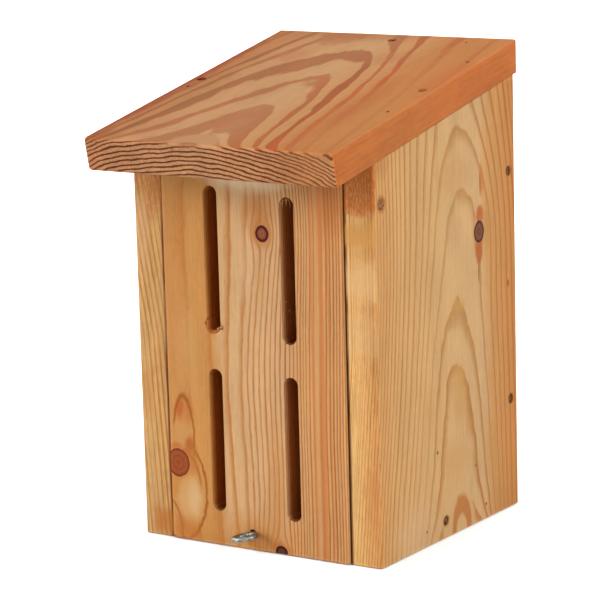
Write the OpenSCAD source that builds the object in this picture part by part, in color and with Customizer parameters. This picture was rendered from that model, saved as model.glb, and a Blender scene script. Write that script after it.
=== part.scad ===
// Butterfly house of planed larch boards, front facing -Y, standing on z = 0.
// The origin lies on the ground, midway between the roof's front edge and the back board's rear face.
// A slotted front board hangs on two nails near its top and swings outwards.
// A screw eye at its foot reaches into the floor board and holds it shut.

/* [House] */
// Outside width over the two side boards
house_w = 148.5; // [130:0.5:190]
// Depth of the side boards, front to back
house_d = 145; // [135:0.5:190]
// Height of the side boards at their front edge, up to the roof's underside
front_h = 208.5; // [206:0.5:260]
// Roof pitch in degrees, rising from front to back
pitch = 11.3; // [9:0.1:16]

/* [Boards] */
// Thickness of the side boards
side_t = 18; // [15:0.5:22]
// Thickness of the back board
back_t = 18; // [15:0.5:22]
// Thickness of the floor board
floor_t = 18; // [16:0.5:22]
// Radius of the softened long edges of the side, back and floor boards
board_edge_r = 1.2; // [0.4:0.1:2]

/* [Roof] */
// Reach of the roof board beyond each side board
roof_side_reach = 1.75; // [0:0.25:20]
// Thickness of the roof board
roof_t = 18.5; // [15:0.5:24]
// Reach of the roof's underside ahead of the side boards, measured along the slope
roof_overhang = 37; // [20:0.5:60]
// Radius of the roof board's softened edges
roof_edge_r = 2.2; // [0.6:0.1:4]

/* [Door] */
// Gap above the front board, up to the roof's underside at the side boards' front edges
door_top_gap = 4.3; // [3:0.1:12]
// Thickness of the front board
door_t = 18; // [16:0.5:20]
// How far the front board stands ahead of the side boards
door_proud = 1.5; // [0:0.1:4]
// Gap between the front board and each side board
door_side_gap = 0.8; // [0.4:0.1:2]
// Gap between the front board's back and the floor board's front edge
door_back_gap = 0.3; // [0.2:0.1:0.8]
// Height of the front board's lower edge above the ground
door_lift = 0.2; // [0.1:0.1:2]
// Radius of the front board's softened long edges
door_edge_r = 0.9; // [0.4:0.1:2]

/* [Slots] */
// Width of each upright slot
slot_w = 8.5; // [6:0.1:12]
// Centre distance of the two columns of slots
slot_pitch = 47.2; // [30:0.1:60]
// Sideways shift of the slot pattern from the board's middle, negative to the left
slot_shift = -1.1; // [-4:0.1:4]
// Height of the lower slots' ends above the board's lower edge
slot_foot = 18.4; // [16:0.1:26]
// Solid wood left between a lower slot and the upper one
slot_bridge = 18.8; // [12:0.1:24]
// Solid wood left above the upper slots
slot_head = 13.8; // [10:0.1:40]
// Extra height at which the upper left slot was cut
slot_left_rise = 3; // [0:0.1:4]

/* [Pivot nails] */
// Distance of the swing axis below the top of the side boards' front edges
pivot_drop = 21; // [20:0.5:24]
// Distance of the swing axis behind the side boards' front edges
pivot_in = 6.6; // [6:0.1:9]
// Shank diameter of a pivot nail
pivot_d = 3; // [2.5:0.1:4]
// Length of a pivot nail under its head
pivot_len = 38; // [30:1:50]
// Head diameter of a pivot nail
pivot_head_d = 6; // [5:0.1:8]
// Depth of a pivot nail's head top below the board's face
pivot_sink = 0.3; // [0:0.1:1]
// Radial running clearance of the front board on its pivot nails
pivot_clear = 0.08; // [0.03:0.01:0.1]

/* [Screw eye] */
// Sideways place of the screw eye, negative to the left
eye_x = -3.8; // [-12:0.1:12]
// Height of the screw eye above the ground
eye_z = 8.8; // [8:0.1:10]
// Wire diameter of the screw eye
eye_wire_d = 3; // [2.4:0.1:3.4]
// Outside diameter of its ring
eye_ring_d = 14.6; // [12:0.1:17]
// Roll of its ring from level in degrees, the right side up
eye_roll = 11.5; // [0:0.5:90]
// Gap between its ring and the front board's face
eye_gap = 0.3; // [0.2:0.1:2]
// Reach of its point into the floor board
eye_reach = 10; // [6:0.5:12]
// Length of its tapered point
eye_point = 7; // [4:0.5:9]
// Diameter of its hole through the front board
eye_hole_d = 5.4; // [4.6:0.1:7]
// Diameter of the keeper hole in the floor board
keeper_d = 4.4; // [4:0.1:7]
// Wood drilled beyond the eye's point
keeper_spare = 2; // [1:0.5:6]

/* [Nails] */
// Shank diameter of the board nails
nail_d = 2.8; // [2:0.1:3.4]
// Length of the board nails under their heads
nail_len = 42; // [32:1:50]
// Head diameter of the board nails
nail_head_d = 5; // [4:0.1:7]
// Thickness of every nail head
nail_head_t = 1; // [0.6:0.1:1.6]
// Depth of the board nails' heads below the wood's face
nail_sink = 1; // [0.6:0.1:2]
// Diameter of the headless pins
pin_d = 1.2; // [0.9:0.1:1.8]
// Length of the headless pins
pin_len = 30; // [22:1:36]
// Depth of the pins' ends below the wood's face
pin_sink = 0.5; // [0.3:0.1:1.5]
// Radial ease of every nail and pin in its drilled hole
nail_ease = 0.02; // [0.01:0.01:0.05]
// Distance of the upper nails into the back board below its top edge
back_nail_drop = 51.5; // [45:0.5:80]
// Height of the lower nails into the back board
back_nail_low = 60.5; // [40:0.5:80]
// Distance of those nails from the back face
back_nail_in = 7; // [5:0.5:10]
// Distance of the floor nails behind the side boards' front edges
floor_nail_y = 66; // [55:1:90]
// Distance of the front floor pins behind the side boards' front edges
floor_pin_front_y = 46; // [30:1:52]
// Distance of the rear floor pins behind the side boards' front edges
floor_pin_rear_y = 109; // [95:1:112]
// Height of the floor pins above the ground
floor_pin_z = 8; // [6:0.5:10]
// Distance of the roof nails and pins from the side boards' outer faces
roof_nail_in = 5.2; // [4.5:0.1:9]
// Distance of the roof's side nails behind the side boards' front edges
roof_nail_y = 58; // [52:1:75]
// Sideways place of the roof nail over the back board
roof_nail_x = 4; // [-20:1:20]
// Distance of the roof's front right pin behind the side boards' front edges
roof_pin_front_y = 23; // [15:1:35]
// Distance of the roof's rear right pin behind the side boards' front edges
roof_pin_rear_y = 104; // [90:1:115]
// Distance of the roof's left pin behind the side boards' front edges
roof_pin_left_y = 45; // [40:1:48]
// Distance of the pin over the back board from the right side board's inner face
roof_pin_in = 6; // [4:0.5:20]

/* [Wall hole] */
// Diameter of the hole for a wall screw or peg in the back board
wall_hole_d = 6; // [4:0.5:8]
// Distance of that hole below the back board's top edge
wall_hole_drop = 57.5; // [45:0.5:90]

/* [Hidden] */
$fn = 64;

// Larger than any part of the house, for cuts that run right through
far = 600;
// Length by which a cut runs past the face that it opens
over = 1;

// The space between the side boards, and the back board's front face
inner_w = house_w - 2 * side_t;
back_y = house_d - back_t;
// Height of the roof's underside over a place, and of its top face
function under_z(y) = front_h + y * tan(pitch);
function top_z(y) = under_z(y) + roof_t / cos(pitch);

// The roof covers the side boards and reaches beyond them
roof_w = house_w + 2 * roof_side_reach;

// The front board: its size, its faces and the floor board's front edge behind it
door_w = inner_w - 2 * door_side_gap;
door_h = front_h - door_top_gap - door_lift;
door_front = -door_proud;
door_back = door_front + door_t;
floor_front = door_back + door_back_gap;

// Heights of what is measured down from the top
pivot_z = front_h - pivot_drop;
back_nail_high = under_z(house_d) - back_nail_drop;
wall_hole_z = under_z(house_d) - wall_hole_drop;

// Two slots, the foot, the bridge and the head fill the front board's height
slot_len = (door_h - slot_foot - slot_bridge - slot_head) / 2;
// Slot centres, written as [sideways, height] from the ground
slot_low_z = door_lift + slot_foot + slot_len / 2;
slot_high_z = slot_low_z + slot_len + slot_bridge;
slots = [
    [slot_shift - slot_pitch / 2, slot_low_z],
    [slot_shift + slot_pitch / 2, slot_low_z],
    [slot_shift - slot_pitch / 2, slot_high_z + slot_left_rise / 2],
    [slot_shift + slot_pitch / 2, slot_high_z - slot_left_rise / 2]
];

// Depth of the blind pivot holes in the front board's edges, with 1 mm beyond the nail's point
pivot_bore = pivot_len + nail_head_t + pivot_sink - side_t - door_side_gap + 1;

// The screw eye: ring centre, and where its point ends
ring_y = door_front - eye_gap - eye_ring_d / 2;
eye_tip_y = floor_front + eye_reach;

// The roof's foremost point is the round of its upper front edge
roof_front_y = (roof_edge_r - roof_overhang) * cos(pitch)
    - (roof_t - roof_edge_r) * sin(pitch) - roof_edge_r;
// Moves the house so that the origin is midway between that edge and the rear face
mid_y = (roof_front_y + house_d) / 2;

// Sideways place of the side boards' outer faces, and of the nail lines over them
outer_x = house_w / 2;
roof_nail_side_x = outer_x - roof_nail_in;
// Depth at which the back board's middle lies
back_mid_y = house_d - back_t / 2;
// Height at which a nail or pin with a sunk head starts, below the sloping roof
function roof_head_z(y, d) = top_z(y) - d / 2 * tan(pitch);

// Puts a piece drawn from the side boards' front plane into the house's own frame
module place() {
    translate([0, -mid_y, 0]) children();
}

// A rectangle centred on the origin, with round corners
module round_rect(w, h, r) {
    square([w - 2 * r, h], center = true);
    square([w, h - 2 * r], center = true);
    for (x = [-1, 1], y = [-1, 1])
        translate([x * (w / 2 - r), y * (h / 2 - r)]) circle(r);
}

// An upright board, given by its low corner, its plan size and its height
module upright_board(corner, w, d, h, r) {
    translate([corner[0] + w / 2, corner[1] + d / 2, corner[2]])
        linear_extrude(h) round_rect(w, d, r);
}

// Everything above the plane of the roof's underside
module above_underside() {
    translate([0, 0, front_h]) rotate([pitch, 0, 0])
        translate([-far / 2, -far / 2, 0]) cube(far);
}

// Shank and head of a nail, driven along +Z from its head's top at z = 0
module nail_body(d, len, head_d) {
    cylinder(d = head_d, h = nail_head_t);
    translate([0, 0, nail_head_t]) cylinder(d = d, h = len - d);
    translate([0, 0, nail_head_t + len - d]) cylinder(d1 = d, d2 = d / 4, h = d);
}

// Headless pin, driven along +Z from its end at z = 0
module pin_body() {
    cylinder(d = pin_d, h = pin_len - pin_d);
    translate([0, 0, pin_len - pin_d]) cylinder(d1 = pin_d, d2 = pin_d / 4, h = pin_d);
}

// The hole that a nail leaves: its shank's bore, and the dent over its head
module nail_hole(d, len, head_d, sink) {
    translate([0, 0, -sink - over])
        cylinder(d = head_d + 2 * nail_ease, h = sink + over + nail_head_t);
    cylinder(d = d + 2 * nail_ease, h = nail_head_t + len + nail_ease);
}

// The hole that a pin leaves
module pin_hole() {
    translate([0, 0, -pin_sink - over])
        cylinder(d = pin_d + 2 * nail_ease, h = pin_sink + over + pin_len + nail_ease);
}

// Puts a nail driven inwards through a side board, from side -1 for left or 1 for right
module into_side(side, y, z, sink) {
    translate([side * (outer_x - sink), y, z]) rotate([0, -side * 90, 0]) children();
}

// Puts a nail driven straight down through the roof
module into_roof(x, y, d, sink) {
    translate([x, y, roof_head_z(y, d) - sink]) rotate([180, 0, 0]) children();
}

module board_nail() {
    nail_body(nail_d, nail_len, nail_head_d);
}

module board_nail_hole() {
    nail_hole(nail_d, nail_len, nail_head_d, nail_sink);
}

// All holes of the nails and pins that go through one side board
module side_holes(side) {
    into_side(side, house_d - back_nail_in, back_nail_high, nail_sink) board_nail_hole();
    into_side(side, house_d - back_nail_in, back_nail_low, nail_sink) board_nail_hole();
    into_side(side, floor_nail_y, floor_t / 2, nail_sink) board_nail_hole();
    into_side(side, floor_pin_front_y, floor_pin_z, pin_sink) pin_hole();
    into_side(side, floor_pin_rear_y, floor_pin_z, pin_sink) pin_hole();
}

// All holes of the nails and pins that go down through the roof
module roof_holes() {
    for (side = [-1, 1])
        into_roof(side * roof_nail_side_x, roof_nail_y, nail_head_d, nail_sink) board_nail_hole();
    into_roof(roof_nail_x, back_mid_y, nail_head_d, nail_sink) board_nail_hole();
    into_roof(-roof_nail_side_x, roof_pin_left_y, pin_d, pin_sink) pin_hole();
    into_roof(roof_nail_side_x, roof_pin_front_y, pin_d, pin_sink) pin_hole();
    into_roof(roof_nail_side_x, roof_pin_rear_y, pin_d, pin_sink) pin_hole();
    into_roof(inner_w / 2 - roof_pin_in, back_mid_y, pin_d, pin_sink) pin_hole();
}

// One round-ended slot, cut right through the front board
module slot_cut(at) {
    translate([at[0], door_front - over, at[1]]) rotate([-90, 0, 0])
        linear_extrude(door_t + 2 * over) union() {
            square([slot_w, slot_len - slot_w], center = true);
            for (end = [-1, 1])
                translate([0, end * (slot_len - slot_w) / 2]) circle(d = slot_w);
        }
}

// Roof board: front end cut square to the board, rear end cut plumb and flush with the back
module roof() {
    run = roof_overhang + house_d / cos(pitch) + roof_t;
    color("peru") place() difference() {
        intersection() {
            // Cross-section with soft long edges, drawn out along the slope
            translate([0, 0, front_h]) rotate([pitch, 0, 0])
                translate([0, -roof_overhang, roof_t / 2]) rotate([-90, 0, 0])
                    linear_extrude(run) round_rect(roof_w, roof_t, roof_edge_r);
            // Side view with a soft front end, drawn out across the width
            translate([0, 0, front_h]) rotate([pitch, 0, 0])
                translate([0, run / 2 - roof_overhang, roof_t / 2]) rotate([90, 0, 90])
                    linear_extrude(roof_w + 2 * over, center = true)
                        round_rect(run, roof_t, roof_edge_r);
            // The plumb rear end
            translate([-far / 2, house_d - far, 0]) cube(far);
        }
        roof_holes();
    }
}

// Side board, standing, with its top cut to the roof's slope
module side_board(side) {
    place() difference() {
        upright_board([side > 0 ? outer_x - side_t : -outer_x, 0, 0], side_t, house_d,
            under_z(house_d) + over, board_edge_r);
        above_underside();
        side_holes(side);
        roof_holes();
        into_side(side, pivot_in, pivot_z, pivot_sink)
            nail_hole(pivot_d, pivot_len, pivot_head_d, pivot_sink);
    }
}

module side_left() {
    color("burlywood") side_board(-1);
}

module side_right() {
    color("burlywood") side_board(1);
}

// Back board between the side boards, with the hole for a wall screw or peg
module back_board() {
    color("burlywood") place() difference() {
        upright_board([-inner_w / 2, back_y, 0], inner_w, back_t,
            under_z(house_d) + over, board_edge_r / 2);
        above_underside();
        side_holes(-1);
        side_holes(1);
        roof_holes();
        translate([0, back_y - over, wall_hole_z]) rotate([-90, 0, 0])
            cylinder(d = wall_hole_d, h = back_t + 2 * over);
    }
}

// Floor board between the side boards, from the front board to the back board
module floor_board() {
    length = back_y - floor_front;
    color("tan") place() difference() {
        translate([0, floor_front + length / 2, floor_t / 2]) rotate([90, 0, 90])
            linear_extrude(inner_w, center = true) round_rect(length, floor_t, board_edge_r / 2);
        side_holes(-1);
        side_holes(1);
        // Keeper hole for the screw eye's point
        translate([eye_x, floor_front - over, eye_z]) rotate([-90, 0, 0])
            cylinder(d = keeper_d, h = over + eye_reach + keeper_spare);
    }
}

// Slotted front board, with blind pivot holes in its edges and the screw eye's hole
module door() {
    color("burlywood") place() difference() {
        upright_board([-door_w / 2, door_front, door_lift], door_w, door_t, door_h, door_edge_r);
        for (at = slots)
            slot_cut(at);
        for (side = [-1, 1])
            translate([side * (door_w / 2 + over), pivot_in, pivot_z]) rotate([0, -side * 90, 0])
                cylinder(r = pivot_d / 2 + pivot_clear, h = pivot_bore + over);
        translate([eye_x, door_front - over, eye_z]) rotate([-90, 0, 0])
            cylinder(d = eye_hole_d, h = door_t + 2 * over);
    }
}

// Screw eye: a closed wire ring on a straight shank with a tapered point
module screw_eye() {
    color("silver") place() translate([eye_x, 0, eye_z]) {
        translate([0, ring_y, 0]) rotate([0, -eye_roll, 0])
            rotate_extrude() translate([(eye_ring_d - eye_wire_d) / 2, 0]) circle(d = eye_wire_d);
        shank_y = ring_y + (eye_ring_d - eye_wire_d) / 2;
        translate([0, shank_y, 0]) rotate([-90, 0, 0])
            cylinder(d = eye_wire_d, h = eye_tip_y - eye_point - shank_y);
        translate([0, eye_tip_y - eye_point, 0]) rotate([-90, 0, 0])
            cylinder(d1 = eye_wire_d, d2 = eye_wire_d / 6, h = eye_point);
    }
}

// The nail on which the front board swings, through one side board
module pivot_nail(side) {
    color("dimgray") place() into_side(side, pivot_in, pivot_z, pivot_sink)
        nail_body(pivot_d, pivot_len, pivot_head_d);
}

// A nail through one side board into the back board
module back_nail(side, z) {
    color("dimgray") place() into_side(side, house_d - back_nail_in, z, nail_sink) board_nail();
}

// A nail through one side board into the floor board
module floor_nail(side) {
    color("dimgray") place() into_side(side, floor_nail_y, floor_t / 2, nail_sink) board_nail();
}

// A headless pin through one side board into the floor board
module floor_pin(side, y) {
    color("dimgray") place() into_side(side, y, floor_pin_z, pin_sink) pin_body();
}

// A nail down through the roof
module roof_nail(x, y) {
    color("dimgray") place() into_roof(x, y, nail_head_d, nail_sink) board_nail();
}

// A headless pin down through the roof
module roof_pin(x, y) {
    color("dimgray") place() into_roof(x, y, pin_d, pin_sink) pin_body();
}

roof();
side_left();
side_right();
back_board();
floor_board();
door();
screw_eye();
pivot_nail(-1);  // pivot_nail_left
pivot_nail(1);  // pivot_nail_right
roof_nail(-roof_nail_side_x, roof_nail_y);  // roof_nail_left
roof_nail(roof_nail_side_x, roof_nail_y);  // roof_nail_right
roof_nail(roof_nail_x, back_mid_y);  // roof_nail_back
back_nail(-1, back_nail_high);  // back_nail_left_high
back_nail(-1, back_nail_low);  // back_nail_left_low
back_nail(1, back_nail_high);  // back_nail_right_high
back_nail(1, back_nail_low);  // back_nail_right_low
floor_nail(-1);  // floor_nail_left
floor_nail(1);  // floor_nail_right
floor_pin(-1, floor_pin_front_y);  // floor_pin_left_front
floor_pin(-1, floor_pin_rear_y);  // floor_pin_left_rear
floor_pin(1, floor_pin_front_y);  // floor_pin_right_front
floor_pin(1, floor_pin_rear_y);  // floor_pin_right_rear
roof_pin(-roof_nail_side_x, roof_pin_left_y);  // roof_pin_left
roof_pin(roof_nail_side_x, roof_pin_front_y);  // roof_pin_right_front
roof_pin(roof_nail_side_x, roof_pin_rear_y);  // roof_pin_right_rear
roof_pin(inner_w / 2 - roof_pin_in, back_mid_y);  // roof_pin_back
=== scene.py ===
"""Looks of the butterfly house: planed larch boards, nails, screw eye, studio and camera.

Sizes are in millimetres, measured as in the part's source, from the side boards' front edges.
"""

import logging
import math
import random
from dataclasses import dataclass, field
from enum import Enum
from typing import Callable, Iterable, Sequence

import bpy
from mathutils import Euler, Matrix, Quaternion, Vector

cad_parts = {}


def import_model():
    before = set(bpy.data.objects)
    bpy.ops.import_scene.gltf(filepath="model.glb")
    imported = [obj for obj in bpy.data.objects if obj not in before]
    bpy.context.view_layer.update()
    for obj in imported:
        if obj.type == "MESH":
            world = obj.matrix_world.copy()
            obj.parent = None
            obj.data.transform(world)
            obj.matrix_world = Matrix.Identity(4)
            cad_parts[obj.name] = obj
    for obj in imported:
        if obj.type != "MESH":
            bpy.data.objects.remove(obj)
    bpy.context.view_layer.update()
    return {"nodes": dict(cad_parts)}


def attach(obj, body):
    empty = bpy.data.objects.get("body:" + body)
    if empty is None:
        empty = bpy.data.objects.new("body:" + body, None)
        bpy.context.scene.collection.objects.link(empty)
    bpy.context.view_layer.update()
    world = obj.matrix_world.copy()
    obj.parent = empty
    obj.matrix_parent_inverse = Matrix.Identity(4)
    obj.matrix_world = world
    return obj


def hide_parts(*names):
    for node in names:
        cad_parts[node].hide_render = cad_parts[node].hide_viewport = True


log = logging.getLogger("butterfly_house")

MM = 0.001
MID_Y = 52.74034
PITCH_DEGREES = 11.3
PITCH = math.radians(PITCH_DEGREES)
COS, SIN, TAN = math.cos(PITCH), math.sin(PITCH), math.tan(PITCH)
HOUSE_W, HOUSE_D, FRONT_H = 148.5, 145.0, 208.5
ROOF_W, ROOF_T, OVERHANG = 152.0, 18.5, 37.0
BOARD_T = 18.0
INNER_W, BACK_Y, FLOOR_FRONT = HOUSE_W - 2 * BOARD_T, HOUSE_D - BOARD_T, 16.8
DOOR_W, DOOR_FRONT = 110.9, -1.5
EYE_X, EYE_Z = -3.8, 8.8
# White light that the lamps lay over the wood, and the share of a metal's tone that is its own
WOOD_SHEEN, METAL_GAIN = 0.016, 0.45

Triple = tuple[float, float, float]
Tone = Triple
Shade = tuple[float, float, float, float]
Piece = bpy.types.Object
Socket = bpy.types.NodeSocket
Value = float | Sequence[float] | Socket
# Soft noise: its blots' size in millimetres, its octaves, the finer ones' share and its shift
Noise = tuple[Triple, float, float, float]
Sockets = dict[str, Socket]
Values = dict[str, Value]


def spot(x: float, y: float, z: float) -> Vector:
    """A point of the part's source, in millimetres, as a point of the frame, in metres."""
    return Vector((x, y - MID_Y, z)) * MM


def roof_spot(x: float, along: float, depth: float) -> Vector:
    """A point of the roof board in the frame.

    Args:
        x: Millimetres to the right of the middle.
        along: Millimetres up the slope from the front end.
        depth: Millimetres below the top face.

    Returns:
        The point in metres.
    """
    run, rise = along - OVERHANG, ROOF_T - depth
    return spot(x, run * COS - rise * SIN, FRONT_H + run * SIN + rise * COS)


def linear(tone: Tone, gain: float = 1.0, sheen: float = 0.0) -> Shade:
    """Turns a tone seen by eye (0 to 255) into a shader colour.

    Args:
        tone: Red, green and blue as seen.
        gain: Factor on the linear colour.
        sheen: White light that the lamps lay over it, taken off again.

    Returns:
        Linear red, green, blue and an alpha of 1.
    """
    plain = (((c / 255 + 0.055) / 1.055) ** 2.4 for c in tone)
    return (*(gain * max(0.004, c - sheen) for c in plain), 1.0)


# Shader graphs


class Kind(Enum):
    """What a socket of a shared effect carries."""

    NUMBER = "NodeSocketFloat"
    POINT = "NodeSocketVector"
    COLOUR = "NodeSocketColor"


def numbers(*labels: str) -> dict[str, Kind]:
    """Sockets that carry numbers, by their labels."""
    return dict.fromkeys(labels, Kind.NUMBER)


@dataclass
class Graph:
    """Adds nodes to one node tree and joins them."""

    tree: bpy.types.NodeTree

    def node(self, kind: str, *given: Value | None, **settings: object) -> bpy.types.Node:
        """Adds a node.

        Args:
            kind: Blender's name of the node's type.
            given: Values or sockets for its inputs, in order; None leaves one alone.
            settings: Its properties.

        Returns:
            The node.
        """
        made = self.tree.nodes.new(kind)
        made.location = (220 * (len(self.tree.nodes) % 24), -260 * (len(self.tree.nodes) // 24))
        for key, setting in settings.items():
            setattr(made, key, setting)
        for socket, value in zip(made.inputs, given):
            self.put(socket, value)
        return made

    def put(self, socket: Socket, value: Value | None) -> None:
        """Joins a socket to another, or gives it a fixed value."""
        if isinstance(value, bpy.types.NodeSocket):
            self.tree.links.new(value, socket)
        elif value is not None:
            socket.default_value = value

    def math(self, work: str, *given: Value, clamp: bool = False) -> Socket:
        """One sum on numbers."""
        return self.node("ShaderNodeMath", *given, operation=work, use_clamp=clamp).outputs[0]

    def plus(self, first: Value, last: Value) -> Socket:
        """The sum of two numbers."""
        return self.math("ADD", first, last)

    def less(self, first: Value, last: Value) -> Socket:
        """What is left of the first number when the last is taken off."""
        return self.math("SUBTRACT", first, last)

    def times(self, first: Value, last: Value) -> Socket:
        """The product of two numbers."""
        return self.math("MULTIPLY", first, last)

    def times_plus(self, first: Value, factor: Value, more: Value) -> Socket:
        """A number times a factor, and more added."""
        return self.math("MULTIPLY_ADD", first, factor, more)

    def rest(self, share: Value) -> Socket:
        """What a share leaves of 1."""
        return self.less(1.0, share)

    def size(self, value: Value) -> Socket:
        """A number without its sign."""
        return self.math("ABSOLUTE", value)

    def squares(self, first: Value, last: Value) -> Socket:
        """The sum of the squares of two numbers."""
        return self.times_plus(first, first, self.times(last, last))

    def oval(self, given: Sockets) -> Socket:
        """The squared distance of a place from an oval's middle, in units of its half sizes."""
        x, _, z = self.split(given["Place"])
        dx = self.math("DIVIDE", self.less(x, given["Across"]), given["Half Across"])
        dz = self.math("DIVIDE", self.less(z, given["Along"]), given["Half Along"])
        return self.squares(dx, dz)

    def bump(self, height: Value, distance: float) -> Socket:
        """Fine relief.

        Args:
            height: The relief, from 0 to about 1.
            distance: How high 1 stands, in millimetres.

        Returns:
            The way that the surface faces with it.
        """
        made = self.node("ShaderNodeBump")
        made.inputs["Strength"].default_value = 1.0
        made.inputs["Distance"].default_value = distance * MM
        self.put(made.inputs["Height"], height)
        return made.outputs[0]

    def vector(self, work: str, *given: Value) -> bpy.types.Node:
        """One sum on vectors; output 0 is a vector and output 1 a number."""
        return self.node("ShaderNodeVectorMath", *given, operation=work)

    def split(self, vector: Value) -> tuple[Socket, Socket, Socket]:
        """The three parts of a vector."""
        return tuple(self.node("ShaderNodeSeparateXYZ", vector).outputs)

    def join(self, x: Value, y: Value, z: Value) -> Socket:
        """A vector from three numbers."""
        return self.node("ShaderNodeCombineXYZ", x, y, z).outputs[0]

    def ease(self, value: Value, low: Value, high: Value) -> Socket:
        """A soft step from 0 at low to 1 at high."""
        return self.node("ShaderNodeMapRange", value, low, high, 0.0, 1.0,
                         interpolation_type="SMOOTHSTEP").outputs[0]

    def fade(self, value: Value, low: Value, high: Value) -> Socket:
        """A soft step from 1 at low to 0 at high."""
        return self.rest(self.ease(value, low, high))

    def span(self, value: Value, low: Value, high: Value, to_low: Value, to_high: Value) -> Socket:
        """A straight change of scale, held at its ends."""
        return self.node("ShaderNodeMapRange", value, low, high, to_low, to_high).outputs[0]

    def blend(self, share: Value, first: Value, second: Value, way: str = "MIX") -> Socket:
        """Two colours mixed."""
        made = self.node("ShaderNodeMix", data_type="RGBA", blend_type=way)
        for index, value in ((0, share), (6, first), (7, second)):
            self.put(made.inputs[index], value)
        return made.outputs[2]

    def scaled(self, colour: Value, factor: Value) -> Socket:
        """A colour made brighter or darker by a factor."""
        made = self.node("ShaderNodeVectorMath", colour, operation="SCALE")
        self.put(made.inputs[3], factor)
        return made.outputs[0]

    def noise(self, place: Value, noise: Noise, seed: float = 0.0) -> Socket:
        """Soft noise whose blots have a size in millimetres.

        Args:
            place: The place in the board's own millimetres.
            noise: Blot size across, in depth and along, octaves, share of the finer ones, shift.
            seed: A further shift of the pattern, so that boards differ.

        Returns:
            A number about 0.5.
        """
        size, detail, rough, shift = noise
        shift += seed
        at = self.vector("MULTIPLY_ADD", place, tuple(1 / s for s in size),
                         (shift, shift * 0.7, shift * 1.3)).outputs[0]
        return self.node("ShaderNodeTexNoise", at, None, 1.0, detail, rough).outputs[0]

    def sway(self, place: Value, noise: Noise, seed: float = 0.0) -> Socket:
        """Soft noise about zero; its arguments are those of noise."""
        return self.less(self.noise(place, noise, seed), 0.5)

    def ramp(self, value: Value, stops: Sequence[tuple[float, Shade]], steps: bool = False) -> Socket:
        """A colour by position.

        Args:
            value: A number from 0 to 1.
            stops: Positions from 0 to 1, each with its shader colour.
            steps: Holds each colour up to the next stop.

        Returns:
            The colour.
        """
        made = self.node("ShaderNodeValToRGB", value)
        band = made.color_ramp
        band.interpolation = "CONSTANT" if steps else "EASE"
        while len(band.elements) < len(stops):
            band.elements.new(0.5)
        for element, (place, _) in zip(band.elements, stops):
            element.position = place
        for element, (_, shade) in zip(band.elements, stops):
            element.color = shade
        return made.outputs[0]


class SharedEffect:
    """A shader node group, built once and placed in each material with its own values."""

    name = "effect"
    takes: dict[str, Kind] = {}
    gives: dict[str, Kind] = {}

    def draw(self, graph: Graph, given: Sockets) -> Values:
        """Draws the group's inside.

        Args:
            graph: The group's own graph.
            given: Its inputs by name.

        Returns:
            Its outputs by name.
        """
        raise NotImplementedError

    def tree(self) -> bpy.types.NodeTree:
        """The group itself, built on first use."""
        known = bpy.data.node_groups.get(self.name)
        if known:
            return known
        tree = bpy.data.node_groups.new(self.name, "ShaderNodeTree")
        for way, sockets in (("INPUT", self.takes), ("OUTPUT", self.gives)):
            for label, kind in sockets.items():
                tree.interface.new_socket(name=label, in_out=way, socket_type=kind.value)
        graph = Graph(tree)
        inner = graph.node("NodeGroupInput")
        outer = graph.node("NodeGroupOutput")
        made = self.draw(graph, {label: inner.outputs[label] for label in self.takes})
        for label in self.gives:
            graph.put(outer.inputs[label], made[label])
        return tree

    def place(self, graph: Graph, thing: object = None, **given: Value) -> Sockets:
        """Puts the group in a material.

        Args:
            graph: The material's graph.
            thing: What lends its fields to the inputs of the same names that aren't given.
            given: Inputs by name, with _ for each space.

        Returns:
            Its outputs by name.
        """
        made = graph.node("ShaderNodeGroup", node_tree=self.tree())
        for label in self.takes:
            key = label.replace(" ", "_")
            value = given[key] if key in given else getattr(thing, key.lower())
            graph.put(made.inputs[label], value)
        return {label: made.outputs[label] for label in self.gives}


class KnotFlow(SharedEffect):
    """Leads the grain round a knot, as a stream flows round a post."""

    name = "knot_flow"
    takes = {"Place": Kind.POINT, **numbers("Across", "Along", "Reach", "Stretch")}
    gives = {"Place": Kind.POINT}

    def draw(self, graph: Graph, given: Sockets) -> Values:
        """Moves the place sideways by the flow's stream function."""
        x, y, z = graph.split(given["Place"])
        dx = graph.less(x, given["Across"])
        dz = graph.math("DIVIDE", graph.less(z, given["Along"]), given["Stretch"])
        far = graph.squares(dx, dz)
        near = graph.times(given["Reach"], given["Reach"])
        part = graph.math("DIVIDE", near, graph.math("MAXIMUM", far, near))
        shrunk = graph.less(dx, graph.times(dx, part))
        return {"Place": graph.join(graph.plus(given["Across"], shrunk), y, z)}


class Swell(SharedEffect):
    """A soft rise or hollow of the rings, which closes them into arches and drops."""

    name = "ring_swell"
    takes = {"Place": Kind.POINT, **numbers("Across", "Along", "Half Across", "Half Along",
                                            "Height", "Before")}
    gives = {"After": Kind.NUMBER}
    # How steeply the bell falls from its middle
    FALL = -0.7

    def draw(self, graph: Graph, given: Sockets) -> Values:
        """Adds a bell-shaped height to the value before."""
        bell = graph.math("EXPONENT", graph.times(graph.oval(given), self.FALL))
        return {"After": graph.times_plus(bell, given["Height"], given["Before"])}


class PithDistance(SharedEffect):
    """How far a place is from the tree's pith, which runs a little askew to the board."""

    name = "pith_distance"
    takes = {"Place": Kind.POINT, **numbers("Pith Across", "Pith Depth", "Across Drift",
                                            "Depth Drift", "Swell")}
    gives = {"Radius": Kind.NUMBER}

    def draw(self, graph: Graph, given: Sockets) -> Values:
        """Measures square to the grain."""
        x, y, z = graph.split(given["Place"])
        off = graph.times_plus(z, given["Across Drift"], given["Pith Across"])
        dx = graph.less(x, off)
        deep = graph.times_plus(z, given["Depth Drift"], given["Pith Depth"])
        dy = graph.less(deep, y)
        far = graph.math("SQRT", graph.squares(dx, dy))
        return {"Radius": graph.plus(far, given["Swell"])}


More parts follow.
